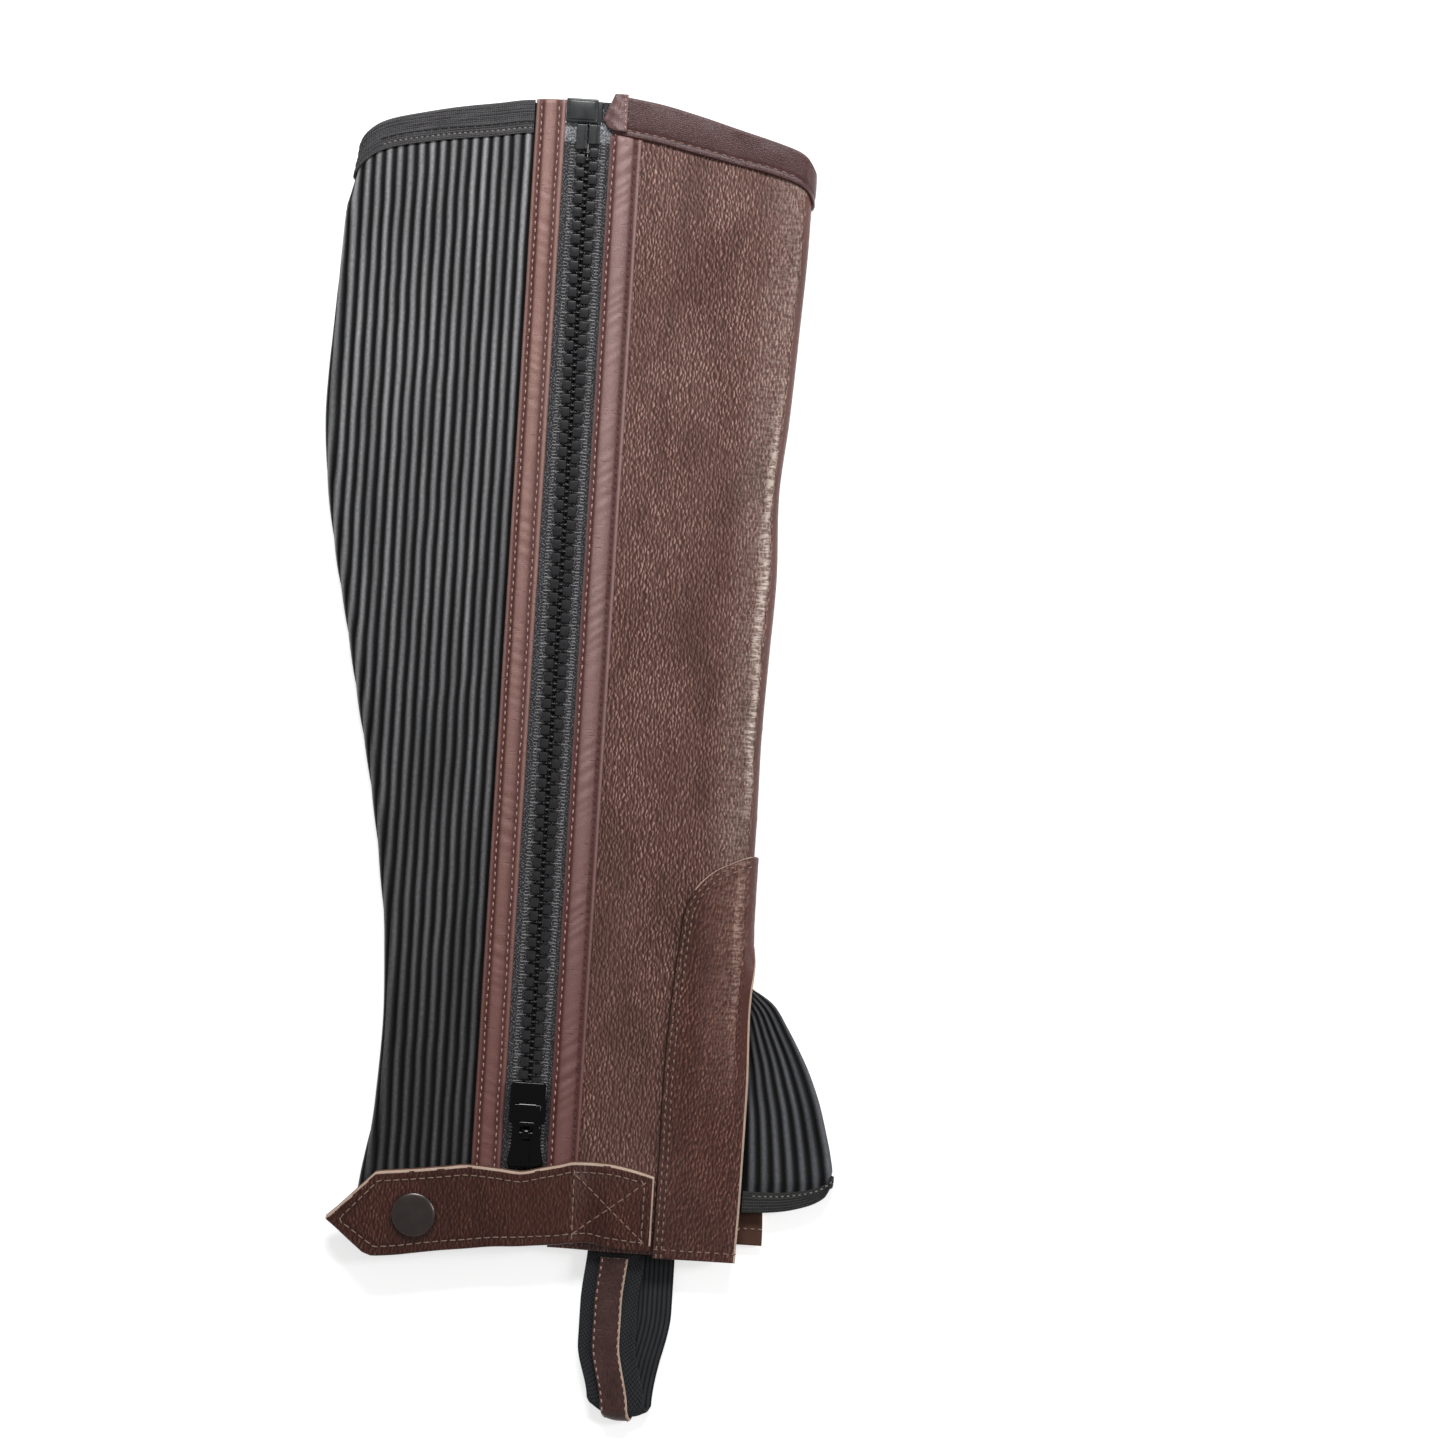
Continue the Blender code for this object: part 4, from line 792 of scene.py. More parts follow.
# %% [markdown]
# Cut leather isn't a sharp box. Its edges are a little rounded, and stitches pull it down into a groove.
# `softened` gives a row of places that is dense at its ends, and `rounding` lowers the face near an edge.
# %% Round edges and grooves
def softened(start, end, step, edge=0.8):
    """Places from start to end, dense at both ends where the edge is rounded."""
    near = np.array((0.0, 0.12, 0.32, 0.62, 1.0)) * edge
    length = abs(end - start)
    count = max(int(round((length - 2 * edge) / step)), 1)
    middle = np.linspace(edge, length - edge, count + 1)[1:-1]
    return start + np.concatenate((near, middle, length - near[::-1])) * np.sign(end - start)


def rounding(distance, radius):
    """How far the face has dropped at a distance from the edge."""
    s = np.clip(1 - distance / radius, 0.0, 1.0)
    return radius * (1 - np.sqrt(1 - s * s))


def groove(distance, depth, width=0.8):
    """Shallow groove, as a row of stitches makes it."""
    return -depth * np.exp(-(distance / width) ** 2)


def creases(u, v, rows):
    """Soft folds of the cloth: place, direction in degrees, half length, half width and height."""
    total = np.zeros(np.broadcast(u, v).shape)
    for at_u, at_v, direction, length, width, height in rows:
        c, s = math.cos(math.radians(direction)), math.sin(math.radians(direction))
        along = ((u - at_u) * c + (v - at_v) * s) / length
        across = (-(u - at_u) * s + (v - at_v) * c - 0.12 * length * along ** 2) / width
        total += height * np.exp(-across ** 2) * np.exp(-along ** 2)
    return total


# %% [markdown]
# ## The main leather panel
# One cut of leather runs from the zip over the outer side, round the shin and back across the inner side
# to the back seam. On the real one it is a single hide, slit at the instep. The grid has a row every
# 2 mm; its columns keep their share of the way from the zip to the fold, as the cut does.
# %% Knee edge and rows
knee_leather = Curve((
    (8.0, 416.8), (13.9, 416.0), (24.8, 414.4), (39.5, 411.0), (54.2, 406.9), (68.9, 402.8),
    (76.5, 400.2), (79.2, 398.4), (82.0, 394.9), (86.0, 392.0), (90.0, 391.0), (165.0, 394.5),
    (245.0, 391.0)))
knee_elastic = Curve((
    (-105.0, 391.0), (-90.0, 391.0), (-86.0, 392.0), (-82.5, 394.5), (-78.8, 398.6),
    (-75.3, 401.3), (-70.1, 403.5), (-61.2, 405.8), (-47.0, 408.9), (-32.7, 411.2),
    (-21.6, 413.0), (-9.0, 413.6)))
PANEL_EDGE = 9.8
LEVEL_FROM, LEVEL_TO, LAST_ROW = 14.0, 364.0, 416.0


def leather_edge(u):
    return knee_leather(u) - GAP - BINDING


def row_height(row, hem, top):
    """Height of a row that is level in the middle and follows hem and knee edge at its ends."""
    low = mix(hem, LEVEL_FROM, row / LEVEL_FROM)
    high = mix(LEVEL_TO, top, (row - LEVEL_TO) / (LAST_ROW - LEVEL_TO))
    return np.where(row < LEVEL_FROM, low, np.where(row > LEVEL_TO, high, row))


def leather_grid(columns, hem, rows):
    """u and v of a grid of the leather; columns gives the u of every column at a height."""
    row = rows[:, None]
    guess = columns(np.minimum(row, LEVEL_TO + 30))
    v = row_height(row, hem, leather_edge(guess))
    return columns(v), v


# %% Leather panel
PANEL_CREASES = (
    (62, 262, 74, 26, 3.0, 0.5), (52, 306, 96, 22, 3.5, -0.35), (69, 214, 82, 30, 2.4, 0.45),
    (70, 178, 20, 7, 1.6, -0.35), (71, 190, 12, 6, 1.4, 0.3), (68, 160, -14, 8, 1.8, 0.35),
    (72, 232, 8, 6, 1.6, -0.3), (46, 174, 84, 24, 4.0, 0.35), (34, 130, 98, 20, 3.5, -0.3),
    (70, 330, 84, 22, 3.0, -0.35), (32, 226, 88, 34, 4.0, 0.3), (150, 300, 100, 30, 4.0, 0.5),
    (120, 190, 80, 34, 4.0, 0.45), (180, 140, 95, 26, 4.0, -0.4), (200, 330, 85, 30, 4.5, 0.4),
    (105, 90, 70, 22, 3.5, -0.4), (160, 60, 100, 20, 3.5, 0.35))
# Where the leather gets bare, from not at all to wholly, on the outer side and on the inner one.
BESIDE_STRIP, BELOW_BINDING, ABOVE_STRAP = (21, 27), (14, 28), (34, 46)
ABOVE_PATCH, BESIDE_PATCH = (148, 158), (46, 40)
PAST_FOLD, INNER_ABOVE_PATCH, INNER_BELOW_KNEE, BEFORE_SEAM = (0, 20), (152, 170), (390, 370), (0, 12)


def bare_leather(u, v):
    """1 where nothing is sewn over the leather, and 0 under strips, patch, strap and bindings."""
    shin = folds(v)[0]
    outer = ease(*BESIDE_STRIP, u) * ease(*BELOW_BINDING, leather_edge(u) - v)
    no_patch = np.clip(ease(*ABOVE_PATCH, v) + ease(*BESIDE_PATCH, u), 0, 1)
    under = 0.6 * ease(*PAST_FOLD, u - shin - 2 * QUARTER) * ease(*INNER_ABOVE_PATCH, v)
    under = under * ease(*INNER_BELOW_KNEE, v) * ease(*BEFORE_SEAM, back_seam(v)[1] - u)
    return np.where(u < shin + QUARTER, outer * no_patch * ease(*ABOVE_STRAP, v), under)


# How strong the painted highlight along the fold is all over, and how much more on the shin and over the
# patch: share, where that grows and where it fades.
FOLD_HIGHLIGHT = 0.22
MORE_FOLD_HIGHLIGHT = ((0.6, (150, 190), (335, 265)), (0.25, (60, 100), (150, 125)))


def fold_highlight_and_smoothing(u, v):
    """Above 0 where a pale painted highlight runs along the shin fold, and below 0 just past it, where it is
    pulled smooth.
    """
    past = u - folds(v)[0]
    wander = 0.5 * np.sin(v * 0.061) + 0.3 * np.sin(v * 0.17 + 1)
    bright = FOLD_HIGHLIGHT + sum(share * ease(*grows, v) * ease(*fades, v) for share, grows, fades in MORE_FOLD_HIGHLIGHT)
    line = np.exp(-((past + 0.4 + wander) / 1.45) ** 4) * (bright + 0.08 * np.sin(v * 0.11))
    near = 0.14 * ease(-16, -3, past) * ease(2.5, 1.0, past)
    return np.maximum(near, line) - ease(1.2, 2.6, past + 0.3 * wander) * ease(QUARTER * 2, QUARTER, past)


def leather_sheet(columns, hem, flap_side):
    """One half of the leather panel: flap_side is 1 for the outer one and -1 for the inner one."""
    rows = np.concatenate(((0.0, 0.15, 0.4, 0.8, 1.6), np.arange(3.0, 14.0, 1.5),
                           np.arange(14.0, LAST_ROW, 2.0), (LAST_ROW,)))
    u, v = leather_grid(columns, hem, rows)
    slit = folds(v)[0] + QUARTER
    from_edge = np.minimum(v - hem, np.abs(u - slit) + ease(SLIT_TOP - 2, SLIT_TOP, v) * 5)
    relief = 1.8 * bare_leather(u, v) * creases(u, v, PANEL_CREASES)
    relief = np.where(flap_side > 0, relief, -np.abs(relief))
    out = relief - rounding(from_edge, 0.7)
    back = -LEATHER + rounding(from_edge, 0.5)
    return on_leg(u, v, out, back, fold=fold_highlight_and_smoothing(u, v))


ROUND_FOLD = np.array((0.12, 0.25, 0.38, 0.5, 0.62, 0.75, 0.87, 0.95, 1.0))
TO_FOLD = np.concatenate((np.linspace(0, 1, 38), ROUND_FOLD * 0 + 1))
FOLDING = np.concatenate((np.zeros(38), ROUND_FOLD))
TO_SEAM = np.concatenate((ROUND_FOLD * 0, np.linspace(0, 1, 72)))
UNFOLDING = np.concatenate((2 - ROUND_FOLD[::-1] + 1e-9, np.zeros(72) + 2))


def outer_columns(v):
    shin = folds(v)[0]
    return mix(PANEL_EDGE, shin, TO_FOLD) + QUARTER * FOLDING


def inner_columns(v):
    start = folds(v)[0] + QUARTER * UNFOLDING
    return mix(start, back_seam(v)[1], TO_SEAM)


leather_panel = cloth("leather_panel_cloth", (
    leather_sheet(outer_columns, OUTER_HEM, 1), leather_sheet(inner_columns, INNER_HEM, -1)),
    (panel_leather, suede, brown_edge))
settle(leather_panel, "pebbled_leather", "leather_panel")

# %% [markdown]
# ## The ribbed calf panel
# The elastic is a plain sheet whose ribs follow a rule, so Geometry Nodes raise them. The sheet carries
# three numbers at each point: which rib it is on, how much of the rib's height is allowed there, and how
# deep the valleys may sink where the panel lies on the table. The tree moves each point along its normal.
# The ribs bend a little where a slow noise shifts the count, as on stretched elastic.
# %% A bench for Geometry Nodes
class Growth(Bench):
    """A Geometry Nodes tree with named inputs, ending in Realize Instances and Set Material."""

    def __init__(self, name, **inputs):
        tree = bpy.data.node_groups.new(name, "GeometryNodeTree")
        tree.interface.new_socket("Geometry", in_out="INPUT", socket_type="NodeSocketGeometry")
        tree.interface.new_socket("Geometry", in_out="OUTPUT", socket_type="NodeSocketGeometry")
        for title, kind in inputs.items():
            tree.interface.new_socket(title, in_out="INPUT", socket_type="NodeSocket" + kind)
        super().__init__(tree)
        self.start = self.node("NodeGroupInput")

    def given(self, title):
        return self.start.beside(title)

    def told(self, name, kind="FLOAT"):
        """A value that the mesh carries at its points."""
        return self.node("GeometryNodeInputNamedAttribute", {"data_type": kind}, {"Name": name},
                         "Attribute")

    def close(self, shape, finish=None):
        real = self.node("GeometryNodeRealizeInstances", {}, {"Geometry": shape})
        if finish is not None:
            real = self.node("GeometryNodeSetMaterial", {}, {"Geometry": real, "Material": finish})
        end = self.tree.nodes.new("NodeGroupOutput")
        self.tree.links.new(real.plug, end.inputs[0])


def grow(piece, growth, **values):
    """Run a tree on a piece and keep the result as its plain mesh."""
    change = piece.modifiers.new("growth", "NODES")
    change.node_group = growth.tree
    for item in growth.tree.interface.items_tree:
        if item.in_out == "INPUT" and item.name in values:
            change[item.identifier] = values[item.name]
    seen = bpy.context.evaluated_depsgraph_get()
    data = bpy.data.meshes.new_from_object(piece.evaluated_get(seen), depsgraph=seen)
    piece.modifiers.remove(change)
    old = piece.data
    piece.data = data
    bpy.data.meshes.remove(old)
    return piece


# %% The rib tree
ribs = Growth("raise_ribs", Height="Float", Sink="Float", Wobble="Float", Elastic="Material")
place = ribs.node("GeometryNodeInputPosition")
bending = ribs.node("ShaderNodeTexNoise", {}, {"Vector": place, "Scale": 60.0, "Detail": 1.0})
count = ribs.told("rib") + ribs.given("Wobble") * (bending - 0.5)
off_crest = count.fraction() * 2 - 1
round_top = (1 - off_crest * off_crest).at_least(0.0) ** 0.55
proud = ribs.given("Height") * ribs.told("proud") * round_top
sunk = ribs.given("Sink") * ribs.told("sunk") * (1 - round_top)
normal = ribs.node("GeometryNodeInputNormal")
push = ribs.vector("SCALE", {0: normal, "Scale": proud - sunk})
raised = ribs.node("GeometryNodeSetPosition", {}, {"Geometry": ribs.start, "Offset": push})
marked = ribs.node("GeometryNodeStoreNamedAttribute", {"data_type": "FLOAT", "domain": "POINT"}, {
    "Geometry": raised, "Name": "crest", "Value": round_top})
ribs.close(marked, ribs.given("Elastic"))

# %% Elastic panel
ELASTIC_HEM, PER_RIB = 4.2, 8
RIBS_ABOVE_HEM, RIBS_BELOW_KNEE = (8.4, 10), (11.2, 12.8)


def elastic_edge(u):
    return knee_elastic(u) - GAP - BINDING


def elastic_sheet():
    """Calf panel with flat faces, and the numbers that the rib tree needs; w is -u."""
    first = np.linspace(PANEL_EDGE, RIB_START, 5)[:-1]
    stations = np.concatenate((first, RIB_START + np.arange(MOST_RIBS * PER_RIB + 1) * RIB_PITCH / PER_RIB))
    share = np.concatenate(((0, 0.005, 0.015, 0.03), np.linspace(0.05, 0.95, 130), (0.97, 0.985, 0.995, 1)))
    w = stations[None, :]
    top = elastic_edge(-w)
    v = mix(ELASTIC_HEM, top, share[:, None])
    end = -back_seam(v)[0]
    w = np.minimum(w + 0 * v, end)
    under = np.maximum((folds(v)[1] + w) / CALF_RADIUS, 0)
    ends = ease(*RIBS_ABOVE_HEM, v - ELASTIC_HEM) * ease(*RIBS_BELOW_KNEE, top - v) * ease(0, 2, end - w)
    below = ease(math.pi * 0.5, math.pi * 0.85, under)
    proud = ends * (1 - below) * ease(RIB_START - 0.1, RIB_START, w)
    sunk = ends * below
    rib = np.maximum((w - RIB_START) / RIB_PITCH, 0)
    return sheet_of(panel(-w, v, 0.0), panel(-w, v, -ELASTIC), paired(w, v),
                    rib=rib, proud=proud, sunk=sunk)


elastic_panel = cloth("elastic_panel_cloth", (elastic_sheet(),), (elastic,) * 3)
grow(elastic_panel, ribs, Height=RIB_HEIGHT * MM, Sink=0.6 * MM, Wobble=0.22, Elastic=elastic)
settle(elastic_panel, "ribbed_elastic", "elastic_panel")

# %% [markdown]
# ## The strips beside the zip
# Two narrow strips of smooth leather are folded under at both edges and sewn down with a row of stitches
# on each side. Between the rows the leather puffs up, and the thread gathers it into small slanted
# puckers. The puckers are placed by a sum of waves of different lengths, so that they never repeat.
# %% Zip strips
TAPE_FOOT = 3.0
STRIP_CALF, STRIP_SHIN = (-19.3, -8.6), (7.8, 19.2)


def puckers(across, v, seed, slant):
    """Small slanted waves of gathered leather, uneven in length, depth and spacing."""
    t = v + slant * across
    slow = np.sin(t * 0.31 + seed) + np.sin(t * 0.173 + 2.1 * seed)
    wave = np.sin(t * 1.45 + 1.3 * slow) + 0.6 * np.sin(t * 0.83 - 0.9 * slow + seed)
    return wave * (0.55 + 0.45 * np.sin(t * 0.117 + 3 * seed))


def strip_cloth(name, span, top, seed, slant, gather, seams, finish):
    """Puffed strip between two u, from the tape's foot to its top."""
    width = span[1] - span[0]
    across = softened(0, width, 0.42, 0.9)[None, :]
    share = across / width
    u = span[0] + across
    rows = np.concatenate((np.arange(0, 1, 0.25), np.arange(1, 400, 0.9)))
    v = TAPE_FOOT + (top(u) - TAPE_FOOT) * (rows[:, None] / rows[-1])
    stitch = np.min([np.abs(u - seam) for seam in seams], axis=0)
    body = 1.15 + 0.85 * np.sin(np.pi * share) ** 0.6
    relief = groove(stitch, 0.5, 0.85)
    relief = relief + gather * puckers(across, v, seed, slant) * np.sin(np.pi * share) ** 1.5
    edge = nearest(across, width - across, v - TAPE_FOOT, top(u) - v)
    out = GAP + body + relief - rounding(edge, 0.75)
    return cloth(name, (on_leg(u, v, out, GAP),), (finish, suede, finish))


KNEE_LEATHER_FLAPS, KNEE_ELASTIC_FLAPS, ANKLE_FLAPS = (13.2, 8.0), (11.0, 8.0), (8.0, 7.0)


def below_knee_binding(u):
    return leather_edge(u) - KNEE_LEATHER_FLAPS[0] - GAP


strip_calf = strip_cloth("zip_strip_calf_leather", STRIP_CALF, knee_elastic, 0.7, 0.35, 0.16, CALF_SEAMS,
                         calf_strip_leather)
settle(strip_calf, "smooth_leather", "zip_strip_calf")
strip_shin = strip_cloth("zip_strip_shin_leather", STRIP_SHIN, below_knee_binding, 2.3, -0.7, 0.25,
                         SHIN_SEAMS, shin_strip_leather)
settle(strip_shin, "smooth_leather", "zip_strip_shin")

# %% [markdown]
# ## The zip's tapes
# Each tape is a flat woven band. On the real zip its inner edge is thicker where the teeth are moulded
# on; here the tape is flat and the teeth stand on it.
# %% Zip tapes
TAPE, TAPE_EDGE, TAPE_MIDDLE_GAP = 0.9, 9.5, 0.08
TAPE_TOP, TAPE_END_TOP, TAPE_END_EDGE = 405.6, 413.6, 4.4


def tape_sheet(u_from, u_to, v_from, v_to, step):
    """Flat rectangle of tape level with the leg's face."""
    u = softened(u_from, u_to, 0.6, 0.3)[None, :]
    v = softened(v_from, v_to, step, 0.3)[:, None]
    edge = nearest(abs(u - u_from), abs(u - u_to), v - v_from, v_to - v)
    return on_leg(u, v, -rounding(edge, 0.25), -TAPE)


def zip_tape(name, side, node):
    parts = [tape_sheet(side * TAPE_MIDDLE_GAP, side * TAPE_EDGE, TAPE_FOOT, TAPE_TOP, 2.0)]
    if side > 0:
        parts.append(tape_sheet(TAPE_END_EDGE, TAPE_EDGE, TAPE_TOP + 0.05, TAPE_END_TOP, 1.0))
    piece = cloth(name, parts, (tape_weave,) * 3)
    settle(piece, "zip_tape", node)


zip_tape("zip_tape_calf_cloth", -1, "zip_tape_calf")
zip_tape("zip_tape_shin_cloth", 1, "zip_tape_shin")

# %% [markdown]
# ## The shin patch
# A second layer of leather protects the shin fold over the instep. Its top is cut to a curve that runs out
# at the fold, and it is sewn down with two rows along the curve.
# %% Shin patch
patch_edge = Curve((
    (0, 47.6), (35, 47.9), (60, 47.7), (84, 48.3), (96, 49.0), (107, 49.8), (116, 50.6),
    (124, 51.4), (130, 53.2), (134, 55.6), (138, 59.2), (141, 63.2), (143.2, 67.6),
    (145, 71.4), (146, 74.2)))
PATCH_TOP, PATCH_SEAMS = 146.0, (1.6, 3.4)
PATCH_RAW_CUT, PATCH_RAW_CURVE, CURVE_FOOT = 0.95, 0.6, 132
PATCH_CREASES = (
    (70, 128, 6, 7, 1.5, 0.3), (69, 121, -8, 8, 1.4, -0.3), (71, 113, 10, 6, 1.5, 0.3),
    (66, 104, -5, 7, 1.8, -0.25), (70, 95, 8, 7, 1.6, 0.25), (60, 70, 84, 18, 3.0, 0.2),
    (56, 112, 80, 14, 2.2, 0.22), (64, 134, 20, 6, 1.4, -0.25), (66, 40, 95, 14, 3.0, -0.2))


def patch_sheet(inner_side):
    """Half of the patch; its slanted cuts, which show from above, are raw."""
    hem = INNER_HEM if inner_side else 0.0
    rows = np.concatenate(((0.0, 0.1, 0.25, 0.5, 0.8), np.arange(1.8, 114, 1.6), np.arange(114, 134, 1.0),
                           np.arange(134, PATCH_TOP, 0.4), (PATCH_TOP,)))
    v = np.maximum(rows, hem)[:, None]
    middle = folds(v)[0] + QUARTER
    start = patch_edge(v)
    share = softened(0, 1, 0.035, 0.04)[None, :]
    u = mix(start, middle, share)
    width = middle - start
    side = np.minimum((u - start) * np.clip(width / 8, 0.3, 1), PATCH_TOP - v)
    cut_edge = (middle - u) + 5 * ease(SLIT_TOP - 2, SLIT_TOP, v)
    edge = nearest(side, cut_edge, v - hem)
    relief = creases(u, v, PATCH_CREASES) * ease(0.5, 4, np.minimum(u - start, v - hem))
    for inset, deep in zip(PATCH_SEAMS, (0.18, 0.14)):
        relief = relief + groove(np.abs(u - start - inset), deep, 0.5)
    if inner_side:
        relief = -np.abs(relief)
        u = 2 * middle - u + 1e-9
    out = GAP + PATCH + relief - rounding(edge, 0.55)
    inside = (2 * middle - u if inner_side else u) - start
    # Painted shade along the patch's curved edge and between its rows, and the fold's painted highlight.
    seam = (ease(0.85, 0.2, inside) + 0.35 * np.exp(-((inside - 2.5) / 1.4) ** 2)) * ease(136, 128, v)
    sheet = on_leg(u, v, out, GAP, seam=seam, fold=fold_highlight_and_smoothing(u, v) * ease(40, 100, v))
    sheet["raw"] = (cut_edge < PATCH_RAW_CUT) | ((inside < PATCH_RAW_CURVE) & (v > CURVE_FOOT))
    return sheet


shin_patch = cloth("shin_patch_leather", (patch_sheet(False), patch_sheet(True)),
                   (patch_leather, suede, raw_edge))
settle(shin_patch, "pebbled_leather", "shin_patch")

# %% [markdown]
# ## The instep gusset
# A fan of ribbed elastic fills the slit and is folded double. Its ribs spread from the slit's upper end to
# the hem. It is raised by the same tree as the calf panel, with its own count of ribs.
# %% Form of the gusset
GUSSET, GUSSET_RIB_HEIGHT, GUSSET_RIBS, GUSSET_FLAT = 1.2, 0.7, 7, 0.22
GUSSET_FOLD_HEIGHT, GUSSET_HEM_LIFT = 5.0, 1.0
GUSSET_CLEAR, GUSSET_CLEAR_INNER = 1.2, 1.8
MAP_ACROSS_GUSSET = 45
# Shares of the way down at which its low side falls and rises, its high side rises, and its ribs start
# and end.
LOW_FALLS, LOW_RISES, HIGH_RISES = (0.45, 0.08), (0.75, 0.88), (0.12, 0.45)
GUSSET_RIBS_FROM, GUSSET_RIBS_TO = (0.05, 0.2), (0.905, 0.87)
gusset_fold = [Curve([(k, *row) for k, row in enumerate((
    (74.2, 101.6), (78.3, 98.2), (85.9, 92.6), (91.1, 84.9), (96.4, 75.9), (99.9, 69.2),
    (104.6, 57.6), (107.5, 47.7), (109.5, 39.9), (110.7, 33.1), (110.4, 29.0)))], c) for c in (1, 2)]
gusset_hem = Curve((
    (70.4, 18.6), (79.5, 18.8), (86.7, 19.2), (93.5, 20.0), (99.1, 21.3), (104.4, 23.2),
    (108.6, 26.0), (110.4, 29.0)))
ROOT_TOP, ROOT_FOOT, FOLD_FOOT = (71.0, 101.0), (70.4, 18.6), (110.4, 29.0)
ROOT_LOW, ROOT_HIGH = 4.1, 6.95


def gusset(across, down, out=0.0):
    """Places on the folded gusset: across is 0 and 2 at its sewn sides and 1 on its fold."""
    across, down, out = matched(across, down, out)
    root_x, root_v = (mix(ROOT_TOP[k], ROOT_FOOT[k], down) for k in (0, 1))
    fold_x, fold_v = (curve(down * 10) for curve in gusset_fold)
    low = ROOT_LOW * ease(*LOW_FALLS, down) + GUSSET_HEM_LIFT * ease(*LOW_RISES, down)
    high = low + mix(ROOT_HIGH - ROOT_LOW, GUSSET_FOLD_HEIGHT, ease(*HIGH_RISES, down))
    radius = (high - low) / 2
    flat = fold_x - radius - root_x
    along = np.where(across <= 1, across, 2 - across) * (flat + math.pi * radius / 2)
    top = across <= 1
    x = root_x + along
    cut = shin_edge(root_v) - SHIN_RADIUS + QUARTER
    inner_cut = cut + inner_flap_reach(root_v) + GUSSET_CLEAR_INNER
    z_top = mix(ROOT_HIGH, high, ease(cut + GUSSET_CLEAR, root_x + flat, x)) + out
    z_low = mix(ROOT_LOW, low, ease(inner_cut, np.maximum(root_x + flat, inner_cut + 1), x)) - out
    turn = (along - flat) / radius
    rise = (radius + out) * np.cos(turn)
    z_fold = low + radius + np.where(top, rise, -rise)
    on_flat = along <= flat
    x = np.where(on_flat, x, root_x + flat + (radius + out) * np.sin(turn))
    z = np.where(on_flat, np.where(top, z_top, z_low), z_fold)
    share = (x - root_x) / (fold_x - root_x)
    last_x = mix(ROOT_FOOT[0], FOLD_FOOT[0], share)
    sag = gusset_hem(last_x) - mix(ROOT_FOOT[1], FOLD_FOOT[1], share)
    v = mix(root_v, fold_v, np.minimum(share, 1.0)) + sag * down ** 2
    return np.stack((x, v, z), axis=-1)


# %% Instep gusset
def gusset_sheet():
    """Folded gusset; ribs start and end beside its sewn sides and above its binding."""
    step, per_rib = (1 - GUSSET_FLAT) / GUSSET_RIBS, 10
    ribbed_part = GUSSET_FLAT + np.arange(2 * GUSSET_RIBS * per_rib + 1) * step / per_rib
    across = np.concatenate((np.linspace(0, GUSSET_FLAT, 6)[:-1], ribbed_part,
                             np.linspace(2 - GUSSET_FLAT, 2, 6)[1:]))[None, :]
    down = np.concatenate(((0.0, 0.02), np.linspace(0.05, 1, 48)))[:, None]
    at = gusset(across, down)
    clear = at[..., 0] - shin_edge(at[..., 1]) + SHIN_RADIUS - QUARTER
    ends = ease(*GUSSET_RIBS_FROM, down) * ease(*GUSSET_RIBS_TO, down)
    proud = ends * ease(1.04, 0.98, across) * ease(0.3, 1.6, clear)
    sunk = ends * ease(0.98, 1.04, across) * ease(2 - GUSSET_FLAT, 2 - GUSSET_FLAT - 0.02, across) * 0.6
    rib = np.clip((across - GUSSET_FLAT) / step, 0, 2 * GUSSET_RIBS)
    cut = paired(across * MAP_ACROSS_GUSSET, 100 - at[..., 1])
    return sheet_of(at, gusset(across, down, -GUSSET), cut, rib=rib + 0 * down, proud=proud, sunk=sunk)


instep_gusset = cloth("instep_gusset_cloth", (gusset_sheet(),), (gusset_elastic,) * 3)
grow(instep_gusset, ribs, Height=GUSSET_RIB_HEIGHT * MM, Sink=0.4 * MM, Wobble=0.1, Elastic=gusset_elastic)
settle(instep_gusset, "ribbed_elastic", "instep_gusset")


# %% [markdown]
# ## The ankle strap
# The strap is two leather layers with the flesh sides together. It lies over the zip in a gentle wave. Its
# point, at the calf, carries the snap; its other end is sewn down with a crossed box.
# %% Form of the strap
STRAP = (  # x, lower edge, upper edge, height of its under side
    (-70.2, 6.6, 7.6, 6.4), (-66.0, 3.7, 11.5, 7.9), (-61.0, -0.1, 16.7, 9.5), (-56.0, -3.9, 21.9, 10.5),
    (-52.9, -4.9, 25.1, 10.8), (-45.0, -4.2, 26.2, 10.8), (-37.6, -3.0, 27.1, 10.8),
    (-29.0, -1.6, 28.3, 10.8), (-19.7, -0.4, 29.5, 10.6), (-8.8, 1.1, 28.9, 10.8), (-1.6, 1.6, 28.3, 11.0),
    (7.3, 2.5, 30.3, 10.8), (13.0, 3.0, 31.6, 10.3), (18.0, 3.8, 32.8, 10.2), (24.0, 4.2, 32.7, 9.7),
    (30.6, 3.2, 32.5, 9.3), (38.0, 2.6, 31.4, 9.5), (42.5, 2.2, 30.4, 9.6), (47.0, 2.5, 29.2, 9.8))
strap_low, strap_high, strap_under = (Curve(STRAP, column) for column in (1, 2, 3))
STRAP_LAYER, STRAP_SEAT, STRAP_SEAM = 1.35, 0.4, 3.4
STRAP_CREASES = ((-20, 14, 86, 10, 3.0, 0.2), (2, 16, 95, 11, 3.5, -0.25), (-49, 12, 80, 8, 2.5, 0.15),
                 (12, 17, 84, 11, 3.0, 0.25))
POINT_SLANT, STRAP_LANDS, STRAP_RAW_END = 0.67, (16, 26), 0.62
STRAP_FROM, STRAP_TO, STRAP_POINT = STRAP[0][0], STRAP[-1][0], -52.9


def strap_level(x, v):
    """Height of the strap's under side: level over the zip, and on the leather at its sewn end."""
    return mix(strap_under(x), face(x, v) + STRAP_SEAT, ease(*STRAP_LANDS, x))


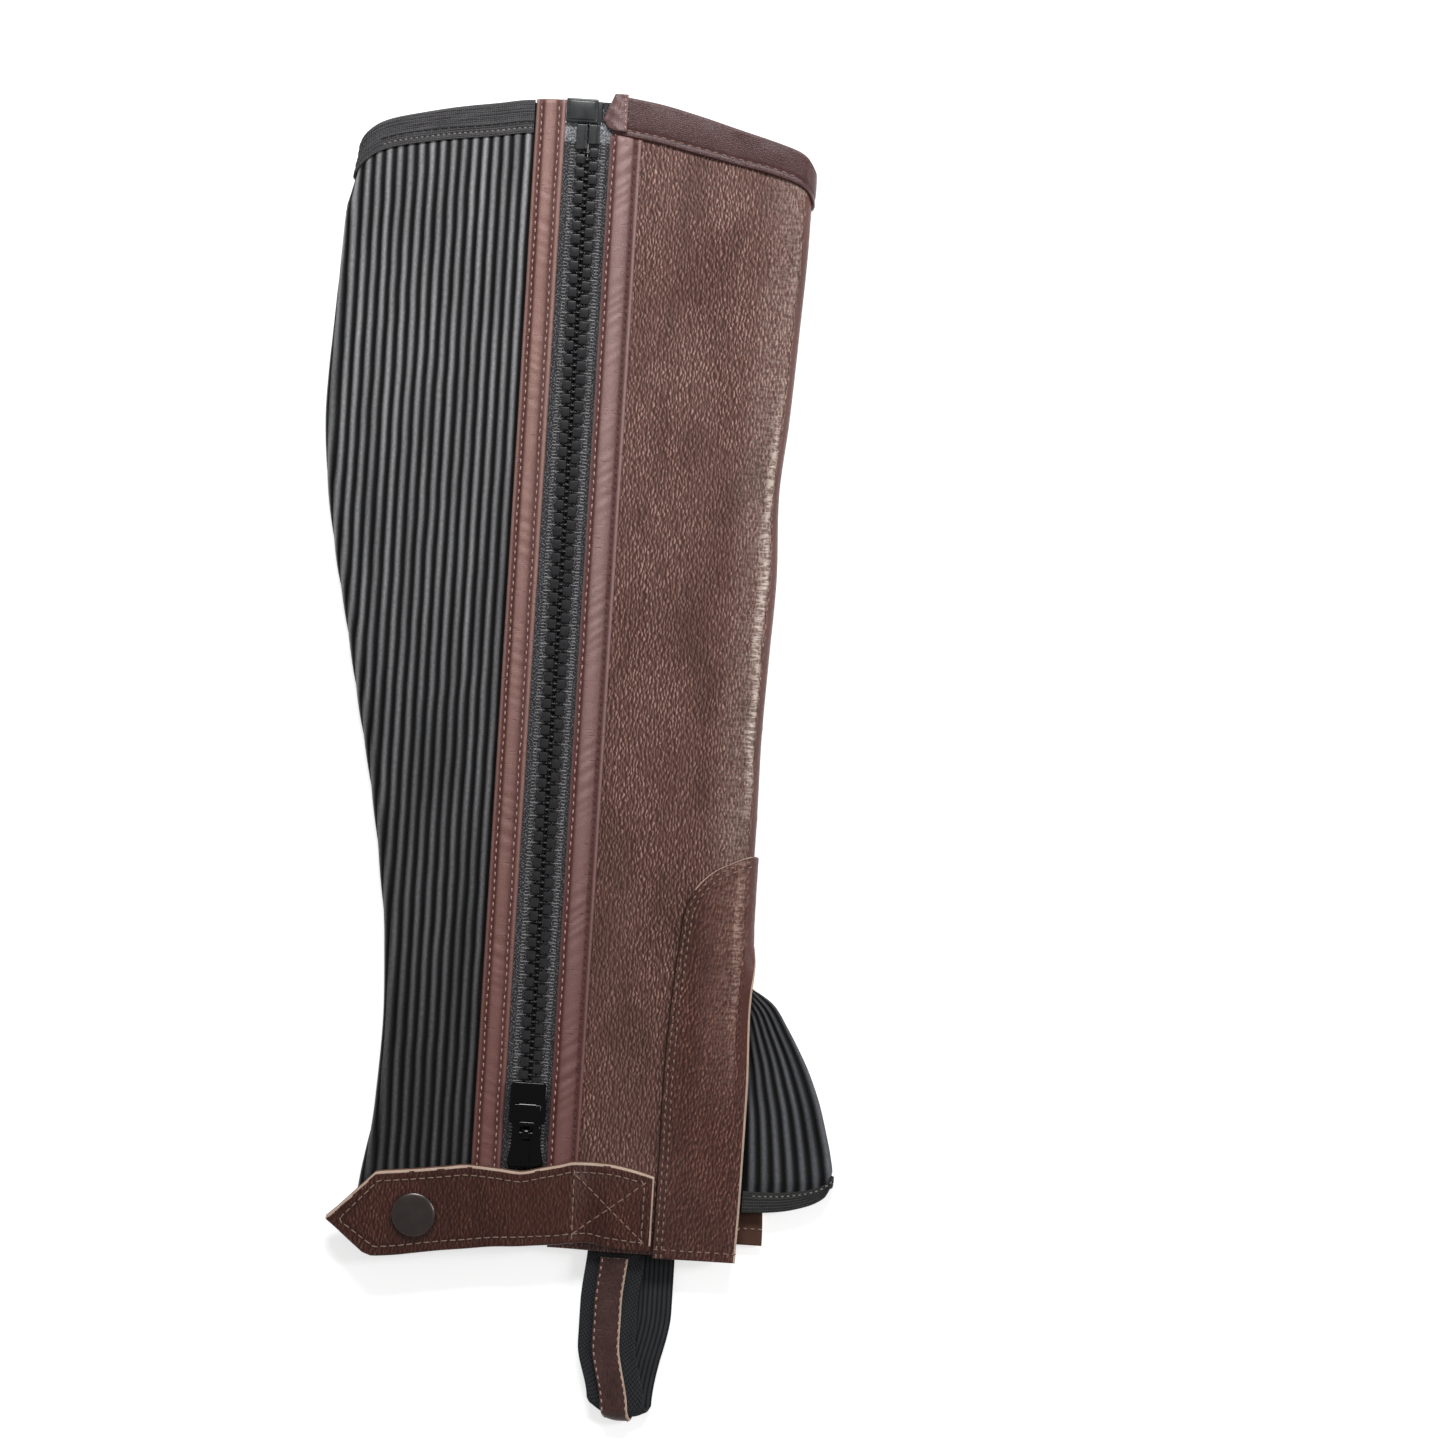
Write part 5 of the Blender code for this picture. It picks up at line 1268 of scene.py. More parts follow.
def strap_side(x, column, smooth_side):
    """Edge of the strap: straight lines at its point and a smooth curve beyond."""
    straight = np.interp(x, [row[0] for row in STRAP], [row[column] for row in STRAP])
    return np.where(x < STRAP_POINT, straight, smooth_side(x))


def strap_cloth(name, base, margin, finishes):
    """Layer of the strap at a height above its seat, and so much wider than its outline."""
    x = softened(STRAP_FROM, STRAP_TO, 0.9, 0.6)[:, None]
    x = np.sort(np.concatenate((x, [[STRAP_POINT], [STRAP_POINT - 0.4], [STRAP_POINT + 0.4]])), axis=0)
    low, high = strap_side(x, 1, strap_low) - margin, strap_side(x, 2, strap_high) + margin
    v = mix(low, high, softened(0, 1, 0.035, 0.045)[None, :])
    slant = np.where(x < STRAP_POINT, POINT_SLANT, 1.0)
    from_edge = nearest((v - low) * slant, (high - v) * slant, STRAP_TO - x)
    level = strap_level(x, v) + base
    relief = groove(from_edge - STRAP_SEAM, 0.16, 0.6) * ease(0, 2, from_edge) + creases(x, v, STRAP_CREASES)
    top = level + STRAP_LAYER + relief * (base > 0) - rounding(from_edge, 0.7)
    grid = paired(x, v)
    outer, inner = (np.concatenate((grid, z[..., None]), -1) for z in (top, level))
    # The seam number paints shade into the groove of the stitch row.
    sheet = sheet_of(outer, inner, grid, seam=0.45 * np.exp(-((from_edge - STRAP_SEAM) / 0.9) ** 2))
    upper = (high - v) * slant < 1.0 + 0.25 * np.sin(x * 0.9) * np.sin(x * 0.37)
    sheet["raw"] = upper | ((STRAP_TO - x < STRAP_RAW_END) & (v > 4))
    return cloth(name, (sheet,), finishes)


strap_backing = strap_cloth("ankle_strap_backing_leather", 0.0, 0.25, (suede, binding_leather, brown_edge))
settle(strap_backing, "smooth_leather", "ankle_strap_backing")
ankle_strap = strap_cloth("ankle_strap_leather", STRAP_LAYER + GAP, 0.0, (strap_leather, suede, raw_edge))
settle(ankle_strap, "pebbled_leather", "ankle_strap")

# %% [markdown]
# ## The foot loop
# A band of elastic webbing goes under the boot. It runs down from the hem, turns and comes back up, a
# little to the side because the loop lies slanted. A strip of leather is sewn along its outer face.
# %% Form of the loop
WEBBING, LOOP_STRIP = 1.3, 1.3
LOOP_LEFT, LOOP_WIDTH, LOOP_SHIFT = 24.6, 20.8, 10.6
LOOP_UNDER, LOOP_INSIDE, LOOP_SEAM_GAP = 1.6, 1.6, 0.5
LOOP_TOP, LOOP_FOOT, LOOP_STRAIGHT = 10.5, -52.0, -38.0
LOOP_LEAN, LOOP_SAG, LOOP_RUN = (2.8, 5.4), 1.6, 62.5
# Heights between which the upper leg leans, sags and recovers, the lower one shifts, and both leave the
# half chap.
LEANS, SAGS, RECOVERS, SHIFTS = (-32, -52), (4, -18), (-54, -34), (-20, -52)
INTO_UPPER, INTO_LOWER = (-14, 0.0), (-8, 4.5)
loop_bend = Curve(((0.0, -54.2), (0.25, -57.4), (0.5, -58.6), (0.75, -58.5), (1.0, -56.6)))


def loop(t, share, out=0.0):
    """Places on the loop: t runs from 0 to 1 down the upper leg, to 2 round the bend, to 3 up again."""
    t, share, out = matched(t, share, out)
    x = LOOP_LEFT + LOOP_WIDTH * share
    thick = 2 * WEBBING + LOOP_INSIDE
    radius = thick / 2
    bend = loop_bend(share) + radius
    down = np.where(t <= 1, t, 3 - t)
    at = mix(LOOP_TOP, LOOP_FOOT, np.clip(down, 0, 1))
    above_bend = (at - LOOP_FOOT) / (LOOP_STRAIGHT - LOOP_FOOT)
    v = np.where(at > LOOP_STRAIGHT, at, mix(bend, LOOP_STRAIGHT, above_bend))
    ground = np.maximum(v, 0.0)
    turn = math.pi * np.clip(t - 1, 0, 1)
    reach = radius + out
    upper_x = x + LOOP_LEAN[0] * ease(*LEANS, at) - LOOP_SAG * ease(*SAGS, at) * ease(*RECOVERS, at)
    lower_x = x + mix(LOOP_SHIFT, LOOP_LEAN[1], ease(*SHIFTS, at))
    upper_z = mix(LOOP_UNDER + thick, face(upper_x, ground) - LEATHER - LOOP_SEAM_GAP,
                  ease(*INTO_UPPER, v)) + out
    lower_z = mix(LOOP_UNDER, lift(lower_x, ground) + LEATHER + LOOP_SEAM_GAP, ease(*INTO_LOWER, v)) - out
    zones = (t < 1, t <= 2)
    return np.stack((
        np.select(zones, (upper_x, x + mix(*LOOP_LEAN, np.clip(t - 1, 0, 1))), lower_x),
        np.select(zones, (v, bend - reach * np.sin(turn)), v),
        np.select(zones, (upper_z, LOOP_UNDER + radius + reach * np.cos(turn)), lower_z)), axis=-1)


# %% Foot loop
def loop_cloth(name, t, share, out, thick, finishes, raw=0.0):
    """Band along the loop; raw is the width of the cut that shows on its right side."""
    t, share = t[:, None], share[None, :]
    side = np.minimum(share - share.min(), share.max() - share) * LOOP_WIDTH
    high = out + thick - rounding(side, thick * 0.4) + 0 * t
    low = out + rounding(side, thick * 0.3) + 0 * t
    sheet = sheet_of(loop(t, share, high), loop(t, share, low), paired(share * LOOP_WIDTH, t * LOOP_RUN))
    sheet["raw"] = ((share.max() - share) * LOOP_WIDTH < raw) & (t < 1.6)
    return cloth(name, (sheet,), finishes)


LOOP_T = np.concatenate((np.linspace(0, 1, 44)[:-1], np.linspace(1, 2, 17), np.linspace(2, 3, 44)[1:]))
foot_loop = loop_cloth("foot_loop_webbing", LOOP_T, softened(0, 1, 0.04, 0.04), -WEBBING, WEBBING,
                       (webbing_weave,) * 3)
settle(foot_loop, "webbing", "foot_loop")
strip_t = LOOP_T[(LOOP_T > 0.165) & (LOOP_T < 2.835)]
loop_strip = loop_cloth("foot_loop_strip_leather", strip_t, softened(0.24, 0.72, 0.03, 0.03), GAP,
                        LOOP_STRIP, (loop_leather, suede, raw_edge), 0.8)
settle(loop_strip, "pebbled_leather", "foot_loop_strip")

# %% [markdown]
# ## Bindings
# A binding is a tape folded over an edge. Its section is drawn once, as a closed line of heights and
# distances from the face, and swept along the edge.
# %% Swept pieces
def tube_faces(count, size):
    """Faces of a closed body through count rings of size points."""
    faces = []
    for r in range(count - 1):
        for k in range(size):
            a, b = r * size + (k - 1) % size, r * size + k
            faces.append((a, b, b + size, a + size))
    faces.append(tuple(reversed(range(size))))
    faces.append(tuple(range((count - 1) * size, count * size)))
    return faces


def outwards(points, faces):
    """The same faces, turned so that they point out of the body."""
    if volume(points, faces) > 0:
        return faces
    return [tuple(reversed(corners)) for corners in faces]


def swept(name, rings, finishes, cut):
    """Closed body through rings of points, with a map value for each of them."""
    rings = np.asarray(rings)
    points = rings.reshape(-1, 3)
    faces = outwards(points, tube_faces(*rings.shape[:2]))
    data = solid_mesh(name, points, faces, finishes, sharp=40)
    lay_map(data, np.reshape(cut, (-1, 2)))
    return in_scene(name, data)


# %% Section of a folded tape
def folded_section(flap, inner_flap, wall, thick, relief):
    """Rounded section over an edge: rows of rise above the edge and distance from the face."""
    half = (wall + 2 * GAP) / 2
    radius = half + thick
    turn = np.linspace(0, math.pi, 11)
    rise = flap * (softened(0, 1, 0.045, 0.04) - 1)
    level = GAP + thick + relief(rise + flap) - rounding(rise + flap, 0.45)
    start = [(-flap, GAP)]
    over = [((GAP + thick) * math.sin(a), -wall / 2 + radius * math.cos(a)) for a in turn[1:]]
    under = [(GAP * math.sin(a), -wall / 2 + half * math.cos(a)) for a in turn[::-1]]
    if inner_flap:
        over += [(-inner_flap, -wall - GAP - thick), (-inner_flap, -wall - GAP)]
    return np.array(start + list(zip(rise, level)) + over + under, float)


def along_section(section, place):
    """Map of a section: the way along it, and one place along the edge."""
    length = np.concatenate(((0,), np.cumsum(np.hypot(*np.diff(section, axis=0).T))))
    return paired(length, place)


def plain(height):
    return 0 * height


FLAP_NARROWS = (30, 75)


def folded_tape(name, edge_of, places, flaps, wall, finish, relief=plain, upwards=1, narrows=0.0,
                waver=plain):
    """Tape folded over an edge, from the u of its sections and the depths of its two flaps."""
    rings, cut = [], []
    for u in places:
        deep = flaps[0] - narrows * ease(*FLAP_NARROWS, abs(u))
        section = folded_section(deep, flaps[1], wall, BINDING, relief)
        shown = section[:, 1] > 0
        out = section[:, 1] + waver(u) * shown * np.clip(-section[:, 0] / 3, 0, 1)
        rings.append(panel(u, edge_of(u) + upwards * section[:, 0], out))
        cut.append(along_section(section, u))
    return swept(name, rings, (finish,), cut)


# %% Knee binding of the leather
def fold_places(first, last, step):
    return np.linspace(first, last, max(int(abs(last - first) / step), 2) + 1)


KNEE_SEAM, KNEE_NARROWS, KNEE_ELASTIC_NARROWS = 2.3, 2.2, 1.4
SEAM_END = 1.2


def sewn_leather(height):
    """Groove of the seam near the lower edge, and a soft crown above it."""
    above = height - KNEE_SEAM
    return groove(above, 0.28, 0.6) + 0.22 * np.sin(np.pi * np.clip(above / 11, 0, 1))


def drawn_leather(u):
    """Soft waves along the binding."""
    return 0.12 * math.sin(u * 0.31) + 0.1 * math.sin(u * 0.19 + 1.0) + 0.05 * math.sin(u * 0.9)


knee_seam_calf, knee_seam_shin = (float(a) for a in back_seam(385.0))
knee_leather_tape = folded_tape(
    "knee_binding_leather_cloth", leather_edge, fold_places(8.4, knee_seam_shin - SEAM_END, 1.2),
    KNEE_LEATHER_FLAPS, LEATHER, binding_leather, sewn_leather, narrows=KNEE_NARROWS, waver=drawn_leather)


def sewn_on(piece, part):
    """Make a part one body with a piece."""
    work = bmesh.new()
    for source in (piece, part):
        work.from_mesh(source.data)
    work.to_mesh(piece.data)
    work.free()
    bpy.data.objects.remove(part)


binding_end_leather = smooth("binding_end_leather", (92, 66, 65), (146, 117, 115), 0.32)


END_FOOT, END_TOP, END_TO = 403.2, 416.6, 13.6


def folded_end():
    """End of the binding beside the zip, which is folded under to a blunt point."""
    v = softened(END_FOOT, END_TOP, 0.7, 0.5)[:, None]
    left = np.interp(v, (END_FOOT, 404.2, 407.1, 409.0, END_TOP), (9.6, 6.9, 5.1, 5.5, 8.8))
    u = mix(left, END_TO, softened(0, 1, 0.06, 0.08)[None, :])
    edge = nearest(u - left, v - END_FOOT, END_TOP - v)
    level = 0.5 + 1.1 * ease(5.0, 9.4, u)
    puff = 0.35 * np.sin(np.pi * (u - left) / (END_TO - left)) + 0.12 * np.sin(v * 1.3 + u)
    out = level + 0.8 + puff - rounding(edge, 0.5)
    return cloth("binding_end", (on_leg(u, v, out, level),), (binding_end_leather,) * 3)


end_of_binding = folded_end()
for face_of_end in end_of_binding.data.polygons:
    face_of_end.material_index = 1
knee_leather_tape.data.materials.append(binding_end_leather)
sewn_on(knee_leather_tape, end_of_binding)
settle(knee_leather_tape, "smooth_leather", "knee_binding_leather")


# %% Knee and ankle bindings of the elastic
ELASTIC_SEAM, ELASTIC_UPPER_SEAM = 1.9, 4.1


def woven_bands(height):
    """Two bands of the elastic tape with a furrow between them, and the seam's groove."""
    band = 0.16 * np.cos(2 * np.pi * height / 1.15)
    return band + groove(height - ELASTIC_SEAM, 0.3, 0.5) + groove(height - 5.6, 0.3, 0.5)


knee_elastic_tape = folded_tape(
    "knee_binding_elastic_cloth", elastic_edge, fold_places(-19.9, knee_seam_calf + SEAM_END, 1.0),
    KNEE_ELASTIC_FLAPS, ELASTIC, binding_weave, woven_bands, narrows=KNEE_ELASTIC_NARROWS)
settle(knee_elastic_tape, "woven_binding", "knee_binding_elastic")
hem_seam = float(back_seam(ELASTIC_HEM)[0])
ankle_tape = folded_tape(
    "ankle_binding_elastic_cloth", lambda u: ELASTIC_HEM, fold_places(-20.2, hem_seam + SEAM_END, 1.0),
    ANKLE_FLAPS, ELASTIC, binding_weave, upwards=-1)
settle(ankle_tape, "woven_binding", "ankle_binding_elastic")


# %% Gusset binding
GUSSET_BINDING, GUSSET_FLAP, GUSSET_BOUND = 0.7, 7.4, (0.205, 1.54)


def gusset_hem_place(across, rise, out):
    """Places near the gusset's hem: rise is the distance past it, negative on the gusset."""
    length = ROOT_TOP[1] - ROOT_FOOT[1]
    at = gusset(across, 1 + np.minimum(rise, 0) / length, out)
    at[:, 1] -= np.maximum(rise, 0)
    return at


def gusset_tape():
    section = folded_section(GUSSET_FLAP, 0, GUSSET, GUSSET_BINDING,
                             lambda h: 0.14 * np.cos(2 * np.pi * h / 1.3) + groove(h - 1.6, 0.25, 0.5))
    rings, cut = [], []
    for across in np.linspace(*GUSSET_BOUND, 90):
        rings.append(gusset_hem_place(across, section[:, 0], section[:, 1]))
        cut.append(along_section(section, across * MAP_ACROSS_GUSSET))
    return swept("gusset_binding_cloth", rings, (hem_weave,), cut)


gusset_bound = gusset_tape()
settle(gusset_bound, "woven_binding", "gusset_binding")

# %% [markdown]
# ## Stitches
# Every seam on a half chap shows. A stitch is a short bowed piece of thread whose ends dive into the
# cloth. One tree makes all the rows: it turns a path into a curve, cuts it into equal lengths, and puts a
# stitch on each point, along the path and upright on the cloth. A small random turn, with a fixed seed,
# keeps the row from looking printed.
# %% Thread
def thread(name, dark, light):
    paint = Finish(name, Sheen_Weight=0.3, Specular_IOR_Level=0.4)
    ply = paint.noise(paint.solid(0.3), 3.0, 0.6)
    cloud = paint.noise(paint.solid(9), 2.0)
    paint.set(Base_Color=paint.blend((ply + 0.6 * cloud - 0.3), dark, light), Roughness=0.55 + 0.25 * ply,
              Normal=paint.bump(ply, 0.08))
    return paint.material


tan_thread = thread("tan_thread", (150, 112, 98), (212, 180, 164))
rose_thread = thread("rose_thread", (150, 108, 103), (218, 182, 175))
dark_thread = thread("dark_thread", (44, 26, 26), (104, 72, 68))
brown_thread = thread("brown_thread", (104, 74, 64), (176, 144, 126))
grey_thread = thread("grey_thread", (84, 80, 78), (186, 178, 172))
black_thread = thread("black_thread", (10, 10, 12), (26, 26, 28))
pale_thread = thread("pale_thread", (76, 76, 78), (190, 190, 192))


# %% One stitch
def at_origin(name, points, faces, smooth=True):
    """Object at the origin, from points in millimetres round its own middle."""
    data = bpy.data.meshes.new(name)
    data.from_pydata(np.asarray(points, float) * MM, [], outwards(np.asarray(points, float), faces))
    if smooth:
        data.shade_smooth()
        data.set_sharp_from_angle(angle=math.radians(50))
    return in_scene(name, data)


def stitch(length, width, height=0.28):
    """Bowed thread along x, with its ends below the surface."""
    share = np.array((-1.0, -0.82, -0.45, 0.0, 0.45, 0.82, 1.0))
    slim = np.array((0.5, 0.85, 1.0, 1.0, 1.0, 0.85, 0.5))
    turn = np.arange(6) * math.pi / 3
    rings = [[(s * length / 2, k * width / 2 * math.cos(a),
               height * (1 - 1.7 * s ** 4) + 0.8 * k * width / 2 * math.sin(a) - 0.1) for a in turn]
             for s, k in zip(share, slim)]
    return at_origin("one_stitch", np.reshape(rings, (-1, 3)), tube_faces(7, 6))


# %% The tree that repeats a piece along a path
rows = Growth("row_along_path", Piece="Object", Pitch="Float", Turn="Float", Unrest="Float", Seed="Int",
              Finish="Material")
line = rows.node("GeometryNodeMeshToCurve", {}, {"Mesh": rows.start})
even = rows.node("GeometryNodeResampleCurve", {"mode": "LENGTH"},
                 {"Curve": line, "Length": rows.given("Pitch")})
lying = rows.node("FunctionNodeAxesToRotation", {"primary_axis": "Z", "secondary_axis": "X"}, {
    "Primary Axis": rows.told("up", "FLOAT_VECTOR"), "Secondary Axis": rows.node("GeometryNodeInputTangent")})
chance = rows.node("FunctionNodeRandomValue", {"data_type": "FLOAT_VECTOR"},
                   {0: (-1, -1, -1), 1: (1, 1, 1), "Seed": rows.given("Seed")})
unrest = rows.vector("SCALE", {0: chance, "Scale": rows.given("Unrest")})
quarter = rows.node("ShaderNodeCombineXYZ", {}, {"Z": rows.given("Turn")})
angles = rows.vector("ADD", {0: unrest, 1: quarter})
turned = rows.node("FunctionNodeRotateRotation", {"rotation_space": "LOCAL"}, {
    "Rotation": lying, "Rotate By": rows.node("FunctionNodeEulerToRotation", {}, {0: angles})})
source = rows.node("GeometryNodeObjectInfo", {"transform_space": "ORIGINAL"},
                   {"Object": rows.given("Piece")}, "Geometry")
placed = rows.node("GeometryNodeInstanceOnPoints", {},
                   {"Points": even, "Instance": source, "Rotation": turned})
rows.close(placed, rows.given("Finish"))


def repeated(name, runs, piece, pitch, finish, turn=0.0, unrest=0.05, seed=1):
    """Copies of a piece along runs of points in millimetres, each with the direction that is up there."""
    points, ups, edges = [], [], []
    for at, up in runs:
        edges += [(len(points) + k, len(points) + k + 1) for k in range(len(at) - 1)]
        points += list(at)
        ups += list(up)
    data = bpy.data.meshes.new(name)
    data.from_pydata((np.array(points) - (MIDDLE_X, MIDDLE_V, 0)) * MM, edges, [])
    spot = data.attributes.new("up", "FLOAT_VECTOR", "POINT")
    spot.data.foreach_set("vector", np.array(ups, np.float32).ravel())
    made = in_scene(name, data)
    grow(made, rows, Piece=piece, Pitch=pitch * MM, Turn=turn, Unrest=unrest, Seed=seed, Finish=finish)
    bpy.data.objects.remove(piece)
    return made


# %% Paths on finished pieces
def laid_on(piece, far, near, sink=0.05):
    """Run of points where the lines from far to near meet a piece, and the direction out of it."""
    tree = BVHTree.FromObject(piece, bpy.context.evaluated_depsgraph_get())
    at, up = [], []
    shift = np.array((MIDDLE_X, MIDDLE_V, 0))
    for a, b in zip(far, near):
        way = Vector((b - a) * MM)
        hit = tree.ray_cast(Vector((a - shift) * MM), way.normalized(), way.length)[0]
        if hit is not None:
            out = (a - b) / np.linalg.norm(a - b)
            at.append(np.array(hit) / MM + shift - sink * out)
            up.append(out)
    return at, up


def on_panel(piece, u, v, sink=0.05):
    """Run on a piece, looking for it square to the leg's face."""
    return laid_on(piece, panel(u, v, 7.0), panel(u, v, -0.5), sink)


def from_above(piece, x, v, sink=0.05):
    """Run on a piece, looking for it straight down."""
    x, v = matched(x, v)
    return laid_on(piece, np.stack((x, v, 0 * x + 30), -1), np.stack((x, v, 0 * x), -1), sink)


def sew(name, runs, pitch, finish, slot, length=0.6, width=0.44, unrest=0.07, seed=1):
    """Row of stitches on the half chap; length is the share of the pitch that shows."""
    made = repeated(name, runs, stitch(pitch * length, width), pitch, finish, 0.0, unrest, seed)
    return settle(made, slot)


# %% [markdown]
# The strips have light tan and pinkish rows on their open sides and a dark row beside the leather. The
# rows stop where the strap or the knee binding covers them.
# %% Seams of the strips
ALONG_STRIP = np.linspace(4.5, 411.0, 400)
CALF_SEWN_TO, SHIN_SEWN_TO = 411, 399


def strip_row(piece, u, top):
    """Row along a strip up to its top, with the small waver of a guided hand."""
    v = ALONG_STRIP[ALONG_STRIP < top]
    return on_panel(piece, u + 0.12 * np.sin(v * 0.21) + 0.08 * np.sin(v * 0.9), v, -0.08)


sew("seam_strip_calf", [strip_row(strip_calf, u, CALF_SEWN_TO) for u in CALF_SEAMS],
    2.75, tan_thread, "smooth_leather", seed=3)
sew("seam_strip_shin_zip_side", [strip_row(strip_shin, SHIN_SEAMS[0], SHIN_SEWN_TO)],
    2.9, rose_thread, "smooth_leather", unrest=0.12, seed=5)
sew("seam_strip_shin_leather_side", [strip_row(strip_shin, SHIN_SEAMS[1], SHIN_SEWN_TO)],
    2.75, dark_thread, "smooth_leather", seed=7)

# %% Seams of the bindings
def on_flap(piece, edge, flaps, narrows, u, height, sink=0.05):
    """Row on a binding, at a height above the lower edge of its outer flap."""
    return on_panel(piece, u, edge(u) - flaps[0] + narrows * ease(*FLAP_NARROWS, abs(u)) + height, sink)


over_leather, over_elastic = np.linspace(14.5, 74, 90), -np.linspace(21, 73, 80)
sew("seam_knee_leather", [
    on_flap(knee_leather_tape, leather_edge, KNEE_LEATHER_FLAPS, KNEE_NARROWS, over_leather, KNEE_SEAM)],
    3.1, brown_thread, "smooth_leather", seed=11)
rise, end_u = np.linspace(0.5, 10.5, 12), 12.6
sew("seam_knee_leather_end", [
    on_panel(knee_leather_tape, end_u + 0.04 * rise, leather_edge(end_u) - rise, -0.1)],
    2.0, rose_thread, "smooth_leather", seed=12)
elastic_flap = (knee_elastic_tape, elastic_edge, KNEE_ELASTIC_FLAPS, KNEE_ELASTIC_NARROWS, over_elastic)
sew("seam_knee_elastic", [on_flap(*elastic_flap, ELASTIC_SEAM)], 1.9, grey_thread, "woven_binding", seed=13)
sew("seam_knee_elastic_upper", [on_flap(*elastic_flap, ELASTIC_UPPER_SEAM, 0.0)],
    3.0, black_thread, "woven_binding", length=1.05, width=0.5, unrest=0.02, seed=14)


def along_hem(out, rise=np.array([-5.8])):
    """Places over the gusset's binding, in its middle."""
    return np.concatenate([gusset_hem_place(a, rise, out + 0 * rise) for a in np.linspace(0.3, 1.02, 60)])


sew("seam_gusset_hem", [laid_on(gusset_bound, along_hem(5.0), along_hem(0.0))], 2.0, grey_thread,
    "woven_binding", seed=17, width=0.5)


# %% Seams of the patch
HEM_SEAM, INNER_FLAP_SEAM, SLIT_SEAM = 3.3, 11.8, 3.4


def along_patch(inset):
    """Row inside the patch's curved edge."""
    v = np.concatenate((np.linspace(1.0, 124, 90), np.linspace(125, 145.4, 60)))
    start = patch_edge(v)
    slope = np.gradient(start, v)
    size = np.hypot(1, slope)
    return start + inset / size, v - inset * slope / size


sew("seam_patch", [on_panel(shin_patch, *along_patch(inset)) for inset in PATCH_SEAMS],
    2.9, brown_thread, "pebbled_leather", width=0.5, seed=19)
hem_u, flap_x, cut_v = np.linspace(49, 77, 24), np.linspace(77.5, 86.0, 16), np.linspace(4, 100, 60)
sew("seam_patch_hem", [on_panel(shin_patch, hem_u, HEM_SEAM + 0 * hem_u)],
    3.0, brown_thread, "pebbled_leather", width=0.5, seed=23)
sew("seam_inner_flap", [from_above(leather_panel, flap_x, INNER_FLAP_SEAM + 0 * flap_x, -0.1)],
    2.6, brown_thread, "pebbled_leather", width=0.5, seed=27)
sew("seam_patch_slit", [on_panel(shin_patch, folds(cut_v)[0] + QUARTER - SLIT_SEAM, cut_v)],
    3.0, dark_thread, "pebbled_leather", width=0.5, seed=29)


# %% Seams of the strap
STRAP_TIP_V, TIP_INSET = 7.1, 1.45


def strap_outline(inset):
    """Run round the strap at a distance inside its edge."""
    x = np.linspace(STRAP_POINT + 1, STRAP_TO - inset, 120)
    upper = np.stack((x, strap_high(x) - inset), -1)
    lower = np.stack((x, strap_low(x) + inset), -1)
    tip = np.array((STRAP_FROM + inset * TIP_INSET, STRAP_TIP_V))
    share = np.linspace(0, 1, 24)[:, None]
    return np.concatenate((lower[::-1], mix(lower[0], tip, share)[1:], mix(tip, upper[0], share)[1:],
                           upper, mix(upper[-1], lower[-1], share)[1:]))


# Rows of the crossed box: x and v of both ends.
BOX_ROWS = ((18.2, 29.0, 18.6, 6.3), (19.6, 27.6, 43.4, 6.4), (19.2, 7.6, 43.2, 26.4))
share = np.linspace(0, 1, 30)
sew("seam_strap", [from_above(ankle_strap, *strap_outline(STRAP_SEAM).T)]
    + [from_above(ankle_strap, mix(x, to_x, share), mix(v, to_v, share)) for x, v, to_x, to_v in BOX_ROWS],
    3.1, brown_thread, "pebbled_leather", length=0.86, seed=31)


# %% Seams of the loop
LOOP_SEAMS = (0.275, 0.685)


def loop_row(share):
    """Row along the loop's leather strip, at a share of the webbing's width."""
    t = np.linspace(0.18, 2.82, 120)
    return laid_on(loop_strip, loop(t, share, 5.0), loop(t, share, 0.0))


sew("seam_loop_strip", [loop_row(share) for share in LOOP_SEAMS],
    2.8, tan_thread, "pebbled_leather", width=0.5, seed=37)

# %% [markdown]
# ## The zip
# A moulded zip has separate plastic teeth. Each one is a domed block on its own tape, with a neck and a
# round head that locks between two blocks of the other side. On one side they stand 4.8 mm apart, and the
# other side is half a step further on. One tooth is modelled, and the same tree repeats it.
# %% One tooth
def taken_from(work):
    """Points and faces of a body that is done, which frees its working mesh."""
    points = [tuple(v.co) for v in work.verts]
    faces = [tuple(v.index for v in f.verts) for f in work.faces]
    work.free()
    return points, faces


def rounded_block(low, high, edge, segments=2):
    """Points and faces of a block with rounded edges."""
    work = bmesh.new()
    bmesh.ops.create_cube(work, size=1.0)
    bmesh.ops.scale(work, vec=[b - a for a, b in zip(low, high)], verts=work.verts)
    bmesh.ops.translate(work, vec=[(a + b) / 2 for a, b in zip(low, high)], verts=work.verts)
    bmesh.ops.bevel(work, geom=work.edges[:], offset=edge, segments=segments, affect="EDGES", profile=0.6)
    return taken_from(work)


def ball(middle, radius, squash):
    """Points and faces of a ball with closed poles, stretched upwards."""
    work = bmesh.new()
    bmesh.ops.create_uvsphere(work, u_segments=10, v_segments=6, radius=radius)
    bmesh.ops.scale(work, vec=(1, 1, squash), verts=work.verts)
    bmesh.ops.translate(work, vec=middle, verts=work.verts)
    return taken_from(work)


def gathered(*bodies):
    """Several bodies as one list of points and faces."""
    points, faces = [], []
    for more_points, more_faces in bodies:
        faces += [tuple(c + len(points) for c in corners) for corners in more_faces]
        points += list(more_points)
    return points, faces


